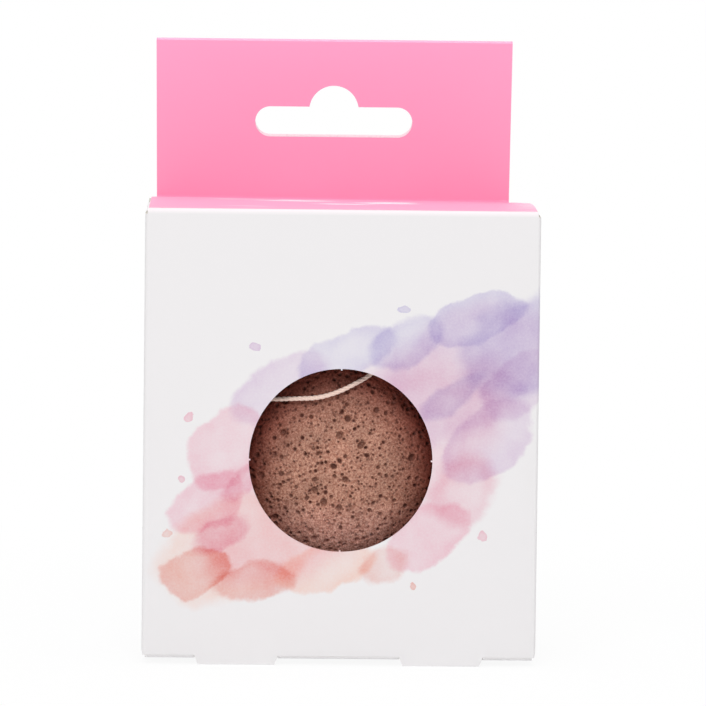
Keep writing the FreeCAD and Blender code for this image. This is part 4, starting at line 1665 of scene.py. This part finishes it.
@dataclass
class Studio:
    """Pale floor, white surroundings, soft lamps and the camera."""

    floor_colour: str = "#f4f4f4"
    floor_size: float = 12.0
    # How far from the object the floor's shadow fades out, and how white the floor is within it.
    shadow_span: Pair = (0.05, 0.25)
    shadow_white: float = 0.92
    sky: float = 0.42
    lamps: tuple[Lamp, ...] = (
        Lamp("key_lamp", (-0.12, -1.15, 1.0), (0.0, 0.0, 0.06), (0.8, 0.5), 9.3),
        Lamp("top_lamp", (0.0, 0.0, 1.2), (0.0, 0.0, 0.06), (0.8, 0.8), 6.0),
    )
    target: Triple = (2.63, 0.0, 62.15)
    distance: float = 1254.8
    azimuth: float = -1.094
    elevation: float = 4.353
    tilt: float = 0.664
    lens: float = 311.28

    def build(self) -> None:
        """Set up everything round the object."""
        self.light()
        self.lay_floor()
        self.aim_camera()
        bpy.context.scene.view_settings.view_transform = "Standard"

    def seen(self, tree: NodeTree) -> NodeSocket:
        """Tell what the camera, a mirror or glass sees of the surroundings from the light that they give.

        Args:
            tree: node tree that asks.

        Returns:
            A socket that is 1 for what is seen.
        """
        path = add_node(tree, "LightPath").outputs
        direct = add_node(tree, "Math", {0: path["Is Camera Ray"], 1: path["Is Glossy Ray"]},
                          operation="MAXIMUM")
        return add_node(tree, "Math", {0: direct.outputs[0], 1: path["Is Transmission Ray"]},
                        operation="MAXIMUM").outputs[0]

    def light(self) -> None:
        """Add white surroundings and soft area lamps."""
        world = bpy.data.worlds.new("white_room")
        bpy.context.scene.world = world
        world.use_nodes = True
        tree = world.node_tree
        level = add_node(tree, "MapRange", {"Value": self.seen(tree), "To Min": self.sky, "To Max": 1.0})
        tree.nodes["Background"].inputs["Color"].default_value = (1, 1, 1, 1)
        tree.links.new(level.outputs[0], tree.nodes["Background"].inputs["Strength"])
        for lamp in self.lamps:
            data = bpy.data.lights.new(lamp.name, "AREA")
            data.shape = "RECTANGLE"
            data.size, data.size_y = lamp.size
            data.energy = lamp.power
            holder = bpy.data.objects.new(lamp.name, data)
            bpy.context.scene.collection.objects.link(holder)
            holder.location = lamp.place
            holder.rotation_mode = "QUATERNION"
            holder.rotation_quaternion = (Vector(lamp.aim) - Vector(lamp.place)).to_track_quat("-Z", "Y")

    def lay_floor(self) -> None:
        """Lay a wide pale floor that is near white to the camera and keeps the soft shadow."""
        deselect_all()
        bpy.ops.mesh.primitive_plane_add(size=self.floor_size, location=(0, 0, 0))
        floor = name_new("studio_floor")
        material, tree, shader = new_material("floor_paint")
        shader.inputs["Base Color"].default_value = linear(self.floor_colour)
        shader.inputs["Roughness"].default_value = 0.9
        shader.inputs["Specular IOR Level"].default_value = 0.1
        glow = add_node(tree, "Emission", {"Color": (1, 1, 1, 1), "Strength": 1.0})
        place = add_node(tree, "TexCoord").outputs["Object"]
        away = add_node(tree, "VectorMath", {0: place}, operation="LENGTH")
        white = add_node(tree, "MapRange", {
            "Value": away.outputs["Value"], "From Min": self.shadow_span[0], "From Max": self.shadow_span[1],
            "To Min": self.shadow_white, "To Max": 1.0}, interpolation_type="SMOOTHSTEP")
        share = add_node(tree, "Math", {0: self.seen(tree), 1: white.outputs[0]}, operation="MULTIPLY")
        mixed = add_node(tree, "MixShader", {0: share.outputs[0], 1: shader.outputs[0], 2: glow.outputs[0]})
        tree.links.new(mixed.outputs[0], tree.nodes["Material Output"].inputs["Surface"])
        dress(floor, material)

    def aim_camera(self) -> None:
        """Put the camera where the picture was taken from."""
        around, above = math.radians(self.azimuth), math.radians(self.elevation)
        back = Vector((math.sin(around) * math.cos(above), -math.cos(around) * math.cos(above),
                       math.sin(above)))
        data = bpy.data.cameras.new("camera")
        data.sensor_width = 36
        data.lens = self.lens
        data.clip_start, data.clip_end = 0.05, 50
        camera = bpy.data.objects.new("camera", data)
        bpy.context.scene.collection.objects.link(camera)
        camera.location = (Vector(self.target) + back * self.distance) * MM
        camera.rotation_mode = "QUATERNION"
        level = (-back).to_track_quat("-Z", "Y")
        camera.rotation_quaternion = level @ Quaternion((0, 0, 1), math.radians(self.tilt))
        bpy.context.scene.camera = camera


def main() -> None:
    """Build the carton, the sponge and the string, and light them."""
    logging.basicConfig(level=logging.INFO, format="%(name)s: %(message)s")
    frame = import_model()
    fibre = BareFibre().material()
    coat = WhiteCoat().material()
    printed = WhiteCoat(name="boxboard_watercolour_print", dabs=PRINT).material()
    pink = PinkInk().material()
    # Painted light: the lid's pink is lighter than the header's, for the stronger light from above on the
    # level lid; where its crease rises it turns to the header's pink.
    lid_pink = PinkInk(name="boxboard_pink_varnish_scuffed", top="#fb95b9", foot="#fbabc9",
                       fade_along=Axis.Y, fade_span=(18.5, 18.8), roughness=0.55, shine=0.15, varnish=0.0,
                       wear_and_highlights=LID_WEAR_AND_HIGHLIGHTS).material()
    # Painted light: the header's inside and cut edges get a lighter, pinkish copy of the bare fibre, so that
    # the faces seen in the slot read as lit.
    core = BareFibre(name="boxboard_white_core", colour="#fbf1f3", fleck="#f1e2e6").material()
    for part, outer, inner in ((Sleeve(), printed, fibre), (Header(), pink, core), (Lid(), lid_pink, fibre),
                               (Bottom(), coat, fibre), (DustFlaps(), coat, fibre)):
        part.build(outer, inner)
        for piece in part.pieces:
            report(piece)
    dress(frame["nodes"]["glue_flap"], coat)
    report(Puff().build(KonjacFoam().material()))
    for piece in HangString().build(CottonTwist().material()):
        report(piece)
    Studio().build()


if __name__ == "__main__":
    main()
